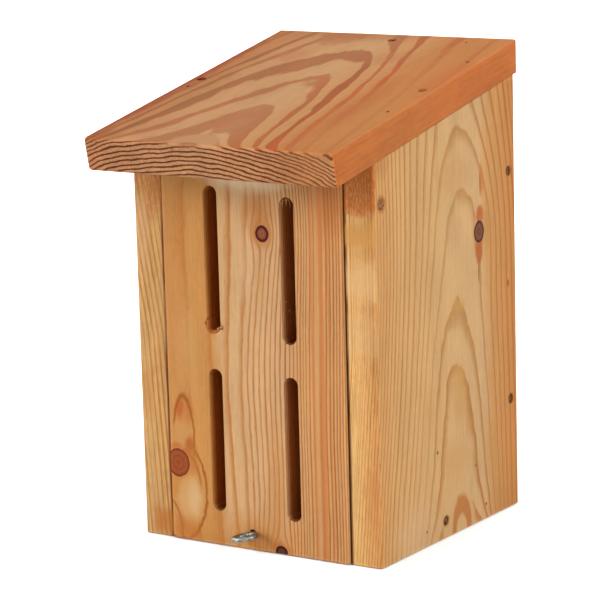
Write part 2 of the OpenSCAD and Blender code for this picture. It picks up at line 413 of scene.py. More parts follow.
class YearSplit(SharedEffect):
    """Splits a count of years into the ring, the season and the ring's own chances."""

    name = "year_split"
    takes = {"Years": Kind.NUMBER, "Seed": Kind.NUMBER}
    gives = numbers("Year", "Phase", "Chance", "Blush")

    def draw(self, graph: Graph, given: Sockets) -> Values:
        """Takes the whole and the broken part, and throws dice for the whole."""
        year = graph.math("FLOOR", given["Years"])
        dice = graph.node("ShaderNodeTexWhiteNoise", noise_dimensions="1D")
        graph.put(dice.inputs["W"], graph.plus(year, given["Seed"]))
        parts = graph.node("ShaderNodeSeparateColor", dice.outputs["Color"]).outputs
        return {"Year": year, "Phase": graph.less(given["Years"], year),
                "Chance": parts[0], "Blush": parts[1]}


class LateWood(SharedEffect):
    """The dark late part of each ring."""

    name = "late_wood"
    takes = numbers("Phase", "Share", "Softness", "Edge")
    gives = {"Late": Kind.NUMBER}
    # How far past its start the late wood still darkens, in units of its softness
    PAST = 0.6

    def draw(self, graph: Graph, given: Sockets) -> Values:
        """Rises gradually with the season and stops sharply at its end."""
        start = graph.rest(given["Share"])
        low = graph.less(start, given["Softness"])
        rise = graph.ease(given["Phase"], low, graph.times_plus(given["Softness"], self.PAST, start))
        fall = graph.fade(given["Phase"], graph.rest(given["Edge"]), 1.0)
        return {"Late": graph.times(rise, fall)}


class Fibre(SharedEffect):
    """Fine fibres, resin ducts and blots of planed softwood."""

    name = "fibre"
    takes = {"Place": Kind.POINT, "Shift": Kind.NUMBER}
    # All longer along the grain
    NOISES = {"Streak": ((0.9, 0.9, 26.0), 3.0, 0.6, 0.0),
              "Fine": ((0.28, 0.28, 5.0), 2.0, 0.65, 3.3),
              "Duct": ((0.45, 0.45, 5.0), 0.0, 0.5, 7.1),
              "Blot": ((2.6, 2.6, 5.0), 3.0, 0.6, 5.2),
              "Broad": ((16.0, 16.0, 55.0), 2.0, 0.5, 9.4)}
    gives = numbers(*NOISES)
    # Where in its noise a resin duct begins, and where it is full
    DUCT = (0.70, 0.80)

    def draw(self, graph: Graph, given: Sockets) -> Values:
        """Draws the noises, and cuts the ducts out of theirs."""
        move = graph.join(given["Shift"], given["Shift"], given["Shift"])
        at = graph.vector("ADD", given["Place"], move).outputs[0]
        made: Values = {label: graph.noise(at, noise) for label, noise in self.NOISES.items()}
        made["Duct"] = graph.ease(made["Duct"], *self.DUCT)
        return made


class ArrisWear(SharedEffect):
    """How close a place is to an edge of its board, roughened: for its wear and its painted highlight.
    """

    name = "arris_wear"
    takes = {"Place": Kind.POINT, "Centre": Kind.POINT, "Half": Kind.POINT, "Reach": Kind.NUMBER}
    gives = {"Wear": Kind.NUMBER}
    # The roughening, and how far it moves the worn strip, in units of its reach
    UNEVEN, MOVE = ((3.0, 3.0, 3.0), 3.0, 0.6, 2.7), -1.2

    def draw(self, graph: Graph, given: Sockets) -> Values:
        """Takes the middle one of the three distances to the faces."""
        off = graph.vector("ABSOLUTE", graph.vector(
            "SUBTRACT", given["Place"], given["Centre"]).outputs[0]).outputs[0]
        a, b, c = graph.split(graph.vector("SUBTRACT", given["Half"], off).outputs[0])
        low, high = graph.math("MINIMUM", a, b), graph.math("MAXIMUM", a, b)
        middle = graph.math("MAXIMUM", low, graph.math("MINIMUM", high, c))
        uneven = graph.noise(given["Place"], self.UNEVEN)
        far = graph.times_plus(uneven, graph.times(given["Reach"], self.MOVE), middle)
        return {"Wear": graph.fade(far, 0.0, given["Reach"])}


class Patch(SharedEffect):
    """An oval mark with a soft or sharp border."""

    name = "oval_mark"
    takes = {"Place": Kind.POINT, **numbers("Across", "Along", "Half Across", "Half Along", "Core",
                                            "Fringe", "Uneven")}
    gives = {"Mark": Kind.NUMBER, "Far": Kind.NUMBER}
    BORDER = ((5.0, 5.0, 7.0), 3.0, 0.6, 4.4)

    def draw(self, graph: Graph, given: Sockets) -> Values:
        """Measures how far out a place is, in units of the oval's size."""
        far = graph.math("SQRT", graph.oval(given))
        far = graph.times_plus(graph.sway(given["Place"], self.BORDER), given["Uneven"], far)
        return {"Mark": graph.fade(far, given["Core"], given["Fringe"]), "Far": far}


class KnotFace(SharedEffect):
    """The sawn face of a branch: its own rings, a dark bark rim and a warm halo."""

    name = "knot_face"
    takes = {"Wood": Kind.COLOUR, "Far": Kind.NUMBER, "Place": Kind.POINT,
             "Heart": Kind.COLOUR, "Ring": Kind.COLOUR, "Rim": Kind.COLOUR,
             "Halo": Kind.COLOUR, "Years": Kind.NUMBER, "Rim Width": Kind.NUMBER,
             "Halo Reach": Kind.NUMBER}
    gives = {"Wood": Kind.COLOUR, "Inside": Kind.NUMBER}
    # The halo's strength, the border of the face in units of its size, and the rings' grit
    HALO, BORDER = 0.75, (0.93, 1.03)
    GRIT, GRIT_RANGE = ((0.5, 0.5, 0.5), 2.0, 0.6, 1.9), (0.3, 0.7, 0.25, 1.0)

    def draw(self, graph: Graph, given: Sockets) -> Values:
        """Lays halo, heart, rings and rim over the wood."""
        far = given["Far"]
        halo = graph.fade(far, 1.0, given["Halo Reach"])
        wood = graph.blend(graph.times(halo, self.HALO), given["Wood"], given["Halo"])
        turn = graph.times(graph.times(far, given["Years"]), 2 * math.pi)
        wave = graph.times_plus(graph.math("SINE", turn), 0.5, 0.5)
        grit = graph.noise(given["Place"], self.GRIT)
        shade = graph.times(wave, graph.span(grit, *self.GRIT_RANGE))
        face = graph.blend(shade, given["Heart"], given["Ring"])
        inside = graph.fade(far, *self.BORDER)
        wood = graph.blend(inside, wood, face)
        width = given["Rim Width"]
        start = graph.rest(width)
        rise = graph.ease(far, graph.times_plus(width, -0.5, start), start)
        fall = graph.fade(far, 1.0, graph.times_plus(width, 0.5, 1.0))
        rim = graph.times(rise, fall)
        return {"Wood": graph.blend(rim, wood, given["Rim"]), "Inside": inside}


# Finishes


@dataclass(frozen=True)
class Lie:
    """How a board lies in the house: its own axes, and the point that they start from."""

    across: Triple
    inward: Triple
    along: Triple
    start: Triple

    def place(self, graph: Graph) -> Socket:
        """The place in the board's own millimetres: across, inward and along the grain."""
        turn = Matrix((self.across, self.inward, self.along))
        shift = -(turn @ (Vector(self.start) / MM))
        seen = graph.node("ShaderNodeTexCoord").outputs["Object"]
        return graph.node("ShaderNodeMapping", seen, tuple(shift), tuple(turn.to_euler()),
                          (1 / MM,) * 3, vector_type="POINT").outputs[0]


@dataclass(frozen=True)
class Rise:
    """A rise of the rings round a point of the face, in millimetres."""

    across: float
    along: float
    half_across: float
    half_along: float
    height: float


@dataclass(frozen=True)
class Lattice:
    """Rises of the rings at the crossings of a coarse lattice, in millimetres."""

    across: float
    across_step: float
    along: float
    along_step: float
    heights: tuple[tuple[float, ...], ...]

    def rises(self) -> Iterable[Rise]:
        """Each crossing as a rise of its own, wide enough to run into the next."""
        for column, row in enumerate(self.heights):
            for line, height in enumerate(row):
                yield Rise(self.across + column * self.across_step,
                           self.along + line * self.along_step,
                           self.across_step, self.along_step, height)


@dataclass(frozen=True)
class Knot:
    """A branch seen on a face, and how the grain flows round it."""

    across: float
    along: float
    half_across: float
    half_along: float
    reach: float
    stretch: float
    heart: Tone
    ring: Tone
    rim: Tone
    halo: Tone
    years: float = 3.0
    rim_width: float = 0.14
    halo_reach: float = 1.6


@dataclass(frozen=True)
class Stain:
    """A mark or tinted patch on a face; its layer is the range of depths that it reaches."""

    across: float
    along: float
    half_across: float
    half_along: float
    tone: Tone
    strength: float
    core: float = 0.4
    fringe: float = 1.1
    uneven: float = 0.35
    grit: float = 0.0
    outline: float = 0.0
    layer: tuple[float, float] | None = None


class Finish:
    """A finish that can be laid on pieces."""

    name: str

    def material(self) -> bpy.types.Material:
        """The material, built on first use."""
        known = bpy.data.materials.get("planed_" + self.name)
        if known:
            return known
        made = bpy.data.materials.new("planed_" + self.name)
        made.use_nodes = True
        made.node_tree.nodes.clear()
        graph = Graph(made.node_tree)
        shader = graph.node("ShaderNodeBsdfPrincipled")
        out = graph.node("ShaderNodeOutputMaterial")
        graph.put(out.inputs["Surface"], shader.outputs[0])
        for label, value in self.paint(graph).items():
            graph.put(shader.inputs[label], value)
        return made

    def paint(self, graph: Graph) -> Values:
        """Draws the finish, and gives the shader's inputs by name."""
        raise NotImplementedError

    def dress(self, piece: Piece) -> None:
        """Gives a piece this finish in every slot."""
        if not piece.material_slots:
            piece.data.materials.append(self.material())
        for slot in piece.material_slots:
            slot.material = self.material()


@dataclass(frozen=True)
class Larch(Finish):
    """Planed bare larch, cut from a log with rings about a pith."""

    name: str
    lie: Lie
    low: Triple
    high: Triple
    pith: tuple[float, float]
    drift: tuple[float, float]
    growth: tuple[tuple[float, float], ...]
    early: tuple[tuple[float, Tone], ...]
    late: tuple[tuple[float, Tone], ...]
    seed: float = 0.0
    wobble: float = 0.5
    ripple: float = 0.3
    wave: Triple = (26.0, 26.0, 90.0)
    share: float = 0.34
    spread: float = 0.2
    softness: float = 0.2
    edge: float = 0.08
    depth: float = 1.0
    record: tuple[float, ...] = ()
    blush: Tone = (196, 112, 66)
    blush_share: float = 0.35
    share_drift: float = 0.12
    end_tone: Tone = (190, 138, 90)
    end_late: float = 1.0
    end_share: float = 0.34
    end_line: Tone = (112, 62, 32)
    edge_tones: tuple[Tone, Tone] = ((255, 255, 255), (255, 255, 255))
    # Whether shade is painted on the slot walls, darker deeper in
    routed: bool = False
    # Whether shade is painted in the gap beside the front board
    grimed: bool = False
    lattice: Lattice | None = None
    edge_lean: tuple[float, float] = (0.0, 0.0)
    edge_late: float = 1.0
    knots: tuple[Knot, ...] = ()
    stains: tuple[Stain, ...] = ()
    gain: float = 0.447
    relief: float = 0.10

    # Tones: the resin ducts, the painted shade in the joint beside the front board, and the painted
    # shade of the slot walls
    DUCT_TONE, DIRT_TONE, SINGE_TONE = (136, 80, 42), (92, 44, 12), (250, 190, 136)
    # Noises of the rings; the first lacks its size, which is the board's wave
    WANDER = (2.0, 0.45, 0.0)
    RIPPLE, DRIFT = ((3.5, 3.5, 14.0), 1.0, 0.5, 4.0), ((16.0, 12.0, 30.0), 1.0, 0.5, 9.0)
    # The noise that bends the rings of the sawn ends, and its reach in millimetres
    BEND, BEND_REACH = ((11.0, 6.0, 60.0), 2.0, 0.5, 7.0), 2.4
    # How far one step of the seed moves the dice of the years, and the fibres
    DICE_SHIFT, FIBRE_SHIFT = 13, 31
    # How far broad noise moves the tints across the board, and how strongly sawn ends are tinted
    TINT_SHIFT, END_TINT = 0.12, 0.75
    # How rarely a year is red, and how dark the faintest late wood is beside the darkest
    BLUSH_POWER, FAINTEST = 2.0, 0.75
    # How much more the fibres show on the sawn ends and on the narrow long faces
    END_FIBRES, EDGE_FIBRES = 1.1, 0.9
    # The ducts' strength: what late wood adds, and what all wood has
    LATE_DUCTS, ALL_DUCTS = 0.3, 0.12
    # The pores of the sawn ends, with their range and effect, and the grit of worn stains
    PORES, PORES_RANGE = ((0.8, 0.8, 0.8), 2.0, 0.7, 1.1), (0.3, 0.7, -0.2, 0.2)
    GRIT, GRIT_STEP = ((0.6, 0.6, 2.6), 2.0, 0.7, 8.8), (0.42, 0.58)
    # The painted shade of the slot walls: the cosines of a wall, and millimetres from the board's sides
    # where it ends
    WALL, SINGE_SIDE = (0.3, 0.8), (4.0, 3.0)
    # Its noise, how many millimetres deeper that makes it, and the depths where it grows
    SINGE, SINGE_UNEVEN, SINGE_DEEP = ((3.0, 2.0, 7.0), 3.0, 0.6, 6.6), 3.0, (0.8, 7.5)
    # Millimetres over which the edges are worn, and how much lighter they are: wear and a painted
    # highlight
    WORN, WORN_LIGHT = 1.3, 0.13
    # Roughness by the fine fibres, and what late wood, sawn ends and wear add to it
    ROUGH, ROUGHER, GLOSS = (0.25, 0.75, 0.5, 0.66), (-0.07, 0.2, 0.08), 0.06
    # Shares of streaks, late wood, fine fibres, blots and knots in the relief
    HEIGHTS = (0.5, 0.5, 0.45, 0.3, 0.5)
    # Cosines at which a face starts to count as square to an axis, and at which it fully does
    FACING = (0.55, 0.85)
    # Each noise of the fibres: its range, and how far it darkens or lightens the wood
    STREAKS = (("Streak", 0.25, 0.75, 0.085), ("Fine", 0.25, 0.75, 0.075),
               ("Blot", 0.25, 0.75, 0.045), ("Broad", 0.3, 0.7, 0.06))
    # Millimetres from the inner face and from the front edge over which the joint's painted shade fades
    # out, and its share
    DIRT_DEEP, DIRT_FRONT, DIRT_SHARE = (1.7, 0.5), (1.4, 3.0), 0.85
    # Millimetres on either side of a layer's borders over which its stain fades
    LAYER_FADE = 1.5
    # Millimetres along the grain at which the lines of the narrow faces change their lean
    LEAN_CHANGE = 110.0

    def shade(self, tone: Tone) -> Shade:
        """The wood's own colour where a tone is seen under the studio's light."""
        return linear(tone, self.gain, WOOD_SHEEN)

    def warped(self, graph: Graph, place: Socket) -> tuple[Socket, Value]:
        """Leads the grain round the knots and over the swells.

        Args:
            graph: The material's graph.
            place: The place in the board.

        Returns:
            The warped place, and the height added to the rings.
        """
        led = place
        for knot in self.knots:
            led = KnotFlow().place(graph, knot, Place=led)["Place"]
        wander = graph.sway(led, (self.wave, *self.WANDER), self.seed)
        height = graph.times(wander, 2 * self.wobble)
        height = graph.times_plus(graph.sway(led, self.RIPPLE, self.seed), self.ripple, height)
        for rise in self.lattice.rises() if self.lattice else ():
            height = Swell().place(graph, rise, Place=place, Before=height)["After"]
        return led, height

    def rings(self, graph: Graph, place: Socket, beside: Socket, end: Socket) -> Sockets:
        """The ring values at a place.

        Args:
            graph: The material's graph.
            place: The place in the board.
            beside: 1 on the board's narrow long faces.
            end: 1 on its sawn ends.

        Returns:
            The ring values, with the late wood's mask.
        """
        led, height = self.warped(graph, place)
        height = graph.times(height, graph.rest(beside))
        bend = graph.times(graph.sway(place, self.BEND, self.seed), self.BEND_REACH)
        height = graph.times_plus(bend, end, height)
        x, depth, z = graph.split(led)
        low, high = self.edge_lean
        upper = graph.math("MAXIMUM", graph.less(z, self.LEAN_CHANGE), 0.0)
        lean = graph.times_plus(upper, high - low, graph.times(z, low))
        led = graph.join(x, graph.times_plus(lean, beside, depth), z)
        radius = PithDistance().place(
            graph, Place=led, Pith_Across=self.pith[0], Pith_Depth=self.pith[1],
            Across_Drift=self.drift[0], Depth_Drift=self.drift[1], Swell=height)["Radius"]
        # The tree's growth curve: radius and year at each known ring
        years: Value = self.growth[0][1]
        for (near, young), (far, old) in zip(self.growth, self.growth[1:]):
            years = graph.plus(years, graph.span(radius, near, far, 0.0, old - young))
        ring = YearSplit().place(graph, Years=years, Seed=self.seed * self.DICE_SHIFT)
        share = graph.times_plus(graph.less(ring["Chance"], 0.5), 2 * self.spread, self.share)
        if self.record:
            count = len(self.record)
            known = graph.ramp(
                graph.math("DIVIDE", graph.plus(ring["Year"], 0.5), float(count)),
                [(i / count, (part, part, part, 1.0)) for i, part in enumerate(self.record)], True)
            share = graph.node("ShaderNodeSeparateColor", known).outputs[0]
        drift = graph.sway(place, self.DRIFT, self.seed)
        share = graph.times(share, graph.times_plus(drift, 4 * self.share_drift, 1.0))
        share = graph.span(end, 0.0, 1.0, share, self.end_share)
        late = LateWood().place(graph, self, Phase=ring["Phase"], Share=share)["Late"]
        ring["Late"] = graph.times(late, graph.span(beside, 0.0, 1.0, 1.0, self.edge_late))
        return ring

    def singed(self, graph: Graph, wood: Socket, place: Socket, seen: Socket) -> Socket:
        """Paints shade on the walls of the slots, darker the deeper it goes into the board.

        Args:
            graph: The material's graph.
            wood: The wood's colour so far.
            place: The place in the board.
            seen: The way the surface faces.

        Returns:
            The colour with the painted shade on the walls.
        """
        faced = graph.vector("DOT_PRODUCT", seen, self.lie.inward).outputs[1]
        wall = graph.fade(graph.size(faced), *self.WALL)
        x, depth, _ = graph.split(place)
        inner = graph.fade(graph.size(x), *(self.high[0] - reach for reach in self.SINGE_SIDE))
        deep = graph.times_plus(graph.noise(place, self.SINGE), self.SINGE_UNEVEN, depth)
        burn = graph.times(graph.ease(deep, *self.SINGE_DEEP), graph.times(wall, inner))
        dark = graph.blend(1.0, wood, linear(self.SINGE_TONE), "MULTIPLY")
        return graph.blend(burn, wood, dark)

    def facing(self, graph: Graph, seen: Socket, axis: Triple) -> Socket:
        """1 on the faces that are square to an axis of the board."""
        turn = graph.vector("DOT_PRODUCT", seen, axis).outputs[1]
        return graph.ease(graph.size(turn), *self.FACING)

    def dirty(self, graph: Graph, wood: Socket, place: Socket) -> Socket:
        """Paints shade on the front edge beside the front board, in the gap of the joint."""
        across, deep, _ = graph.split(place)
        far, near = self.DIRT_DEEP
        inner = graph.ease(deep, self.high[1] - far, self.high[1] - near)
        front = graph.fade(graph.size(across), *self.DIRT_FRONT)
        dirt = graph.times(graph.times(inner, front), self.DIRT_SHARE)
        return graph.blend(dirt, wood, self.shade(self.DIRT_TONE))

    def grained(self, graph: Graph, place: Socket, faces: tuple[Socket, Socket],
                ring: Sockets, fibre: Sockets) -> Socket:
        """Paints rings and fibres on the faces and the sawn ends.

        Args:
            graph: The material's graph.
            place: The place in the board.
            faces: 1 on the narrow long faces, and 1 on the sawn ends.
            ring: The ring values.
            fibre: The fibre values.

        Returns:
            The wood's colour.
        """
        beside, end = faces
        share = graph.math("DIVIDE", graph.less(graph.split(place)[0], self.low[0]),
                           self.high[0] - self.low[0])
        share = graph.times_plus(graph.less(fibre["Broad"], 0.5), self.TINT_SHIFT, share)
        early = graph.ramp(share, [(at, self.shade(tone)) for at, tone in self.early])
        early = graph.blend(graph.times(end, self.END_TINT), early, self.shade(self.end_tone))
        late = graph.ramp(share, [(at, self.shade(tone)) for at, tone in self.late])
        warm = graph.times(graph.math("POWER", ring["Blush"], self.BLUSH_POWER), self.blush_share)
        late = graph.blend(warm, late, self.shade(self.blush))
        dark = graph.span(ring["Chance"], 0.0, 1.0, self.depth * self.FAINTEST, self.depth)
        wood = graph.blend(graph.times(ring["Late"], dark), early, late)
        shade: Value = 0.0
        for name, low, high, reach in self.STREAKS:
            shade = graph.plus(shade, graph.span(fibre[name], low, high, -reach, reach))
        rough = graph.times_plus(beside, self.EDGE_FIBRES, 1.0)
        rough = graph.times_plus(end, self.END_FIBRES, rough)
        pore = graph.span(graph.noise(place, self.PORES), *self.PORES_RANGE)
        shade = graph.times_plus(pore, end, graph.times(shade, rough))
        wood = graph.scaled(wood, graph.plus(shade, 1.0))
        duct = graph.times_plus(ring["Late"], self.LATE_DUCTS, self.ALL_DUCTS)
        wood = graph.blend(graph.times(fibre["Duct"], duct), wood, self.shade(self.DUCT_TONE))
        # On the sawn ends the late wood stands out as dark lines
        line = graph.times(graph.times(ring["Late"], self.end_late), end)
        wood = graph.blend(line, wood, self.shade(self.end_line))
        thick = graph.span(graph.split(place)[1], self.low[1], self.high[1], 0.0, 1.0)
        tint = graph.blend(thick, *(linear(tone) for tone in self.edge_tones))
        return graph.blend(beside, wood, graph.blend(1.0, wood, tint, "MULTIPLY"))

    def stained(self, graph: Graph, wood: Socket, place: Socket) -> Socket:
        """Lays the stains over the wood, one after the other."""
        depth = graph.split(place)[1]
        grit = graph.ease(graph.noise(place, self.GRIT), *self.GRIT_STEP)
        for stain in self.stains:
            spread = Patch().place(graph, stain, Place=place)
            mark = spread["Mark"]
            if stain.outline:
                off = graph.size(graph.less(spread["Far"], 1.0))
                mark = graph.fade(off, 0.0, stain.outline)
            if stain.layer:
                top, bottom = (graph.ease(depth, at - self.LAYER_FADE, at + self.LAYER_FADE)
                               for at in stain.layer)
                mark = graph.times(mark, graph.times(graph.rest(bottom), top))
            if stain.grit:
                mark = graph.times(mark, graph.span(grit, 0.0, 1.0, 1.0 - stain.grit, 1.0))
            wood = graph.blend(graph.times(mark, stain.strength), wood, self.shade(stain.tone))
        return wood

    def knotted(self, graph: Graph, wood: Socket, place: Socket) -> tuple[Socket, Value]:
        """Draws the faces of the knots over the wood, and a mask of them."""
        inside: Value = 0.0
        for knot in self.knots:
            far = Patch().place(graph, knot, Place=place, Core=0.9, Fringe=1.05, Uneven=0.22)["Far"]
            face = KnotFace().place(
                graph, knot, Wood=wood, Far=far, Place=place, Heart=self.shade(knot.heart),
                Ring=self.shade(knot.ring), Rim=self.shade(knot.rim), Halo=self.shade(knot.halo))
            wood = face["Wood"]
            inside = graph.math("MAXIMUM", inside, face["Inside"])
        return wood, inside

    def paint(self, graph: Graph) -> Values:
        """Paints rings, fibres, stains, knots and worn edges with a painted highlight, and their relief.
        """
        place = self.lie.place(graph)
        seen = graph.node("ShaderNodeTexCoord").outputs["Normal"]
        beside, end = (self.facing(graph, seen, axis) for axis in (self.lie.across, self.lie.along))
        ring = self.rings(graph, place, beside, end)
        fibre = Fibre().place(graph, Place=place, Shift=self.seed * self.FIBRE_SHIFT)
        wood = self.grained(graph, place, (beside, end), ring, fibre)
        # Painted shade on the slot walls, darker deeper in
        if self.routed:
            wood = self.singed(graph, wood, place, seen)
        # Painted shade in the gap beside the front board
        if self.grimed:
            wood = self.dirty(graph, wood, place)
        wood, inside = self.knotted(graph, self.stained(graph, wood, place), place)
        centre = tuple((a + b) / 2 for a, b in zip(self.low, self.high))
        half = tuple((b - a) / 2 for a, b in zip(self.low, self.high))
        wear = ArrisWear().place(graph, Place=place, Centre=centre, Half=half,
                                 Reach=self.WORN)["Wear"]
        rough = graph.span(fibre["Fine"], *self.ROUGH)
        for value, more in zip((ring["Late"], end, wear), self.ROUGHER):
            rough = graph.times_plus(value, more, rough)
        high: Value = 0.0
        reliefs = (fibre["Streak"], ring["Late"], fibre["Fine"], fibre["Blot"], inside)
        for value, more in zip(reliefs, self.HEIGHTS):
            high = graph.times_plus(value, more, high)
        # Edges lighter by wear and a painted highlight
        return {"Base Color": graph.scaled(wood, graph.times_plus(wear, self.WORN_LIGHT, 1.0)),
                "Roughness": rough, "Specular IOR Level": self.GLOSS,
                "Normal": graph.bump(high, self.relief)}


@dataclass(frozen=True)
class Metal(Finish):
    """Bare or plated metal with stains and fine scratches."""

    name: str
    bright: Tone
    dull: Tone
    rust: Tone
    rust_share: float
    smooth: float
    metallic: float
    gloss: float = 0.5

    CLOUD, GRIT = ((2.4, 2.4, 2.4), 3.0, 0.6, 0.0), ((0.35, 0.35, 0.35), 3.0, 0.6, 3.0)
    SCRATCH = ((0.15, 2.2, 0.4), 2.0, 0.6, 6.0)
    # Where in their noises the dull patches and the rust begin and are full
    DULL, RUST = (0.35, 0.68), (0.62, 0.72)
    # How much more rust comes with its share, and how much rougher it is
    MORE_RUST, RUST_ROUGH = 0.3, 0.35
    RELIEF = 0.03

    def paint(self, graph: Graph) -> Values:
        """Paints the metal, its dull patches and its rust."""
        seen = graph.node("ShaderNodeTexCoord").outputs["Object"]
        place = graph.vector("SCALE", seen)
        place.inputs[3].default_value = 1 / MM
        at = place.outputs[0]
        cloud, grit, scratch = (graph.noise(at, n) for n in (self.CLOUD, self.GRIT, self.SCRATCH))
        tone = graph.blend(graph.ease(cloud, *self.DULL), linear(self.bright, METAL_GAIN),
                           linear(self.dull, METAL_GAIN))
        tone = graph.scaled(tone, graph.span(grit, 0.3, 0.7, 0.9, 1.08))
        low, high = self.RUST
        spots = graph.ease(grit, low - self.MORE_RUST * self.rust_share, high)
        spots = graph.times(spots, self.rust_share)
        tone = graph.blend(spots, tone, linear(self.rust, METAL_GAIN))
        rough = graph.span(cloud, 0.3, 0.7, self.smooth - 0.07, self.smooth + 0.12)
        return {"Base Color": tone, "Roughness": graph.times_plus(spots, self.RUST_ROUGH, rough),
                "Metallic": graph.times(graph.rest(spots), self.metallic),
                "Specular IOR Level": self.gloss,
                "Normal": graph.bump(graph.times_plus(scratch, 0.5, grit), self.RELIEF)}


@dataclass(frozen=True)
class Paper(Finish):
    """The studio floor: matt white paper with a faint tooth."""

    name: str
    white: float

    def paint(self, graph: Graph) -> Values:
        """Paints nearly even white."""
        seen = graph.node("ShaderNodeTexCoord").outputs["Object"]
        tooth = graph.node("ShaderNodeTexNoise", seen, None, 40.0, 2.0).outputs[0]
        level = graph.span(tooth, 0.3, 0.7, self.white - 0.008, self.white + 0.008)
        return {"Base Color": graph.node("ShaderNodeCombineColor", level, level, level).outputs[0],
                "Roughness": 0.9, "Specular IOR Level": 0.0}


# Bench work


class Bench:
    """Modelling by hand: operators on the one piece that is selected."""

    @staticmethod
    def clear() -> None:
        """Leaves edit mode and deselects everything."""
        if bpy.context.object and bpy.context.object.mode != "OBJECT":
            bpy.ops.object.mode_set(mode="OBJECT")
        bpy.ops.object.select_all(action="DESELECT")

    @staticmethod
    def hold(piece: Piece) -> None:
        """Selects one piece and makes it active."""
        Bench.clear()
        piece.select_set(True)
        bpy.context.view_layer.objects.active = piece

    @staticmethod
    def enter(piece: Piece) -> None:
        """Enters edit mode on a piece, with all of it selected."""
        Bench.hold(piece)
        bpy.ops.object.mode_set(mode="EDIT")
        bpy.ops.mesh.select_all(action="SELECT")

    @staticmethod
    def leave() -> None:
        """Leaves edit mode."""
        bpy.ops.object.mode_set(mode="OBJECT")

    @staticmethod
    def named(name: str) -> Piece:
        """Names the piece that was just added."""
        piece = bpy.context.object
        piece.name = name
        piece.data.name = name
        return piece

    @staticmethod
    def settle(piece: Piece) -> None:
        """Moves a piece's place, turn and scale into its mesh."""
        Bench.hold(piece)
        bpy.ops.object.transform_apply(location=True, rotation=True, scale=True)

    @staticmethod
    def body(name: str, add: Callable[..., object], **given: object) -> Piece:
        """A new plain body whose place, turn and scale are in its mesh.

        Args:
            name: Its name.
            add: Blender's operator that adds it.
            given: The operator's settings.

        Returns:
            The body.
        """
        Bench.clear()
        add(**given)
        piece = Bench.named(name)
        Bench.settle(piece)
        return piece

    @staticmethod
    def shade(piece: Piece, degrees: float) -> None:
        """Shades a piece as round wherever it bends by less than an angle."""
        Bench.hold(piece)
        bpy.ops.object.shade_smooth_by_angle(angle=math.radians(degrees))

    @staticmethod
    def pick(piece: Piece, mode: str, wanted: Iterable[int]) -> None:
        """Selects parts of a mesh by index, and enters edit mode.

        Args:
            piece: The piece.
            mode: VERT, EDGE or FACE.
            wanted: Indices of what to select.
        """
        Bench.hold(piece)
        bpy.ops.object.mode_set(mode="EDIT")
        bpy.ops.mesh.select_mode(type=mode)
        bpy.ops.mesh.select_all(action="DESELECT")
        bpy.ops.object.mode_set(mode="OBJECT")
        parts = {"VERT": piece.data.vertices, "EDGE": piece.data.edges,
                 "FACE": piece.data.polygons}[mode]
        for index in wanted:
            parts[index].select = True
        bpy.ops.object.mode_set(mode="EDIT")

    @staticmethod
    def outwards(piece: Piece) -> None:
        """Makes all faces point outwards."""
        Bench.enter(piece)
        bpy.ops.mesh.normals_make_consistent(inside=False)
        Bench.leave()

    @staticmethod
    def finish_with(piece: Piece, kind: str, **settings: object) -> None:
        """Adds a modifier and applies it.

        Args:
            piece: The piece.
            kind: Blender's name of the modifier's type.
            settings: Its properties.
        """
        Bench.hold(piece)
        made = piece.modifiers.new(kind.lower(), kind)
        for key, setting in settings.items():
            setattr(made, key, setting)
        bpy.ops.object.modifier_apply(modifier=made.name)

    @staticmethod
    def twin(piece: Piece, name: str, matrix: Matrix) -> Piece:
        """A copy of a piece with its own mesh, moved by a matrix."""
        made = piece.copy()
        made.data = piece.data.copy()
        made.name = made.data.name = name
        bpy.context.scene.collection.objects.link(made)
        made.data.transform(matrix)
        return made

    @staticmethod
    def joined(pieces: list[Piece], name: str) -> Piece:
        """Joins pieces into one object."""
        Bench.clear()
        for piece in pieces:
            piece.select_set(True)
        bpy.context.view_layer.objects.active = pieces[0]
        if len(pieces) > 1:
            bpy.ops.object.join()
        return Bench.named(name)

    @staticmethod
    def turned(name: str, steps: Sequence[tuple[float, float]], sides: int = 28) -> Piece:
        """A round body: a disc drawn out along Z, with a new radius at each step.

        Args:
            name: The piece's name.
            steps: Height and radius of each ring, in millimetres.
            sides: Number of sides.

        Returns:
            The piece, about the Z axis.
        """
        height, radius = steps[0]
        piece = Bench.body(name, bpy.ops.mesh.primitive_circle_add, vertices=sides,
                           radius=radius * MM, fill_type="NGON", location=(0, 0, height * MM))
        Bench.enter(piece)
        for (low, before), (high, after) in zip(steps, steps[1:]):
            bpy.ops.mesh.extrude_region_move(TRANSFORM_OT_translate={"value": (0, 0, (high - low) * MM)})
            grow = after / before
            bpy.ops.transform.resize(value=(grow, grow, 1), center_override=(0, 0, high * MM))
        Bench.leave()
        Bench.outwards(piece)
        return piece


class Way(Enum):
    """The direction in which a nail is driven."""

    RIGHT = (0.0, 90.0, 0.0)
    LEFT = (0.0, -90.0, 0.0)
    DOWN = (180.0, 0.0, 0.0)
    BACK = (-90.0, 0.0, 0.0)
    SLOPE = (180.0 + PITCH_DEGREES, 0.0, 0.0)

    def matrix(self, at: Vector) -> Matrix:
        """Puts what is drawn along +Z from zero at a point, in this direction."""
        turn = Euler([math.radians(a) for a in self.value]).to_matrix().to_4x4()
        return Matrix.Translation(at) @ turn


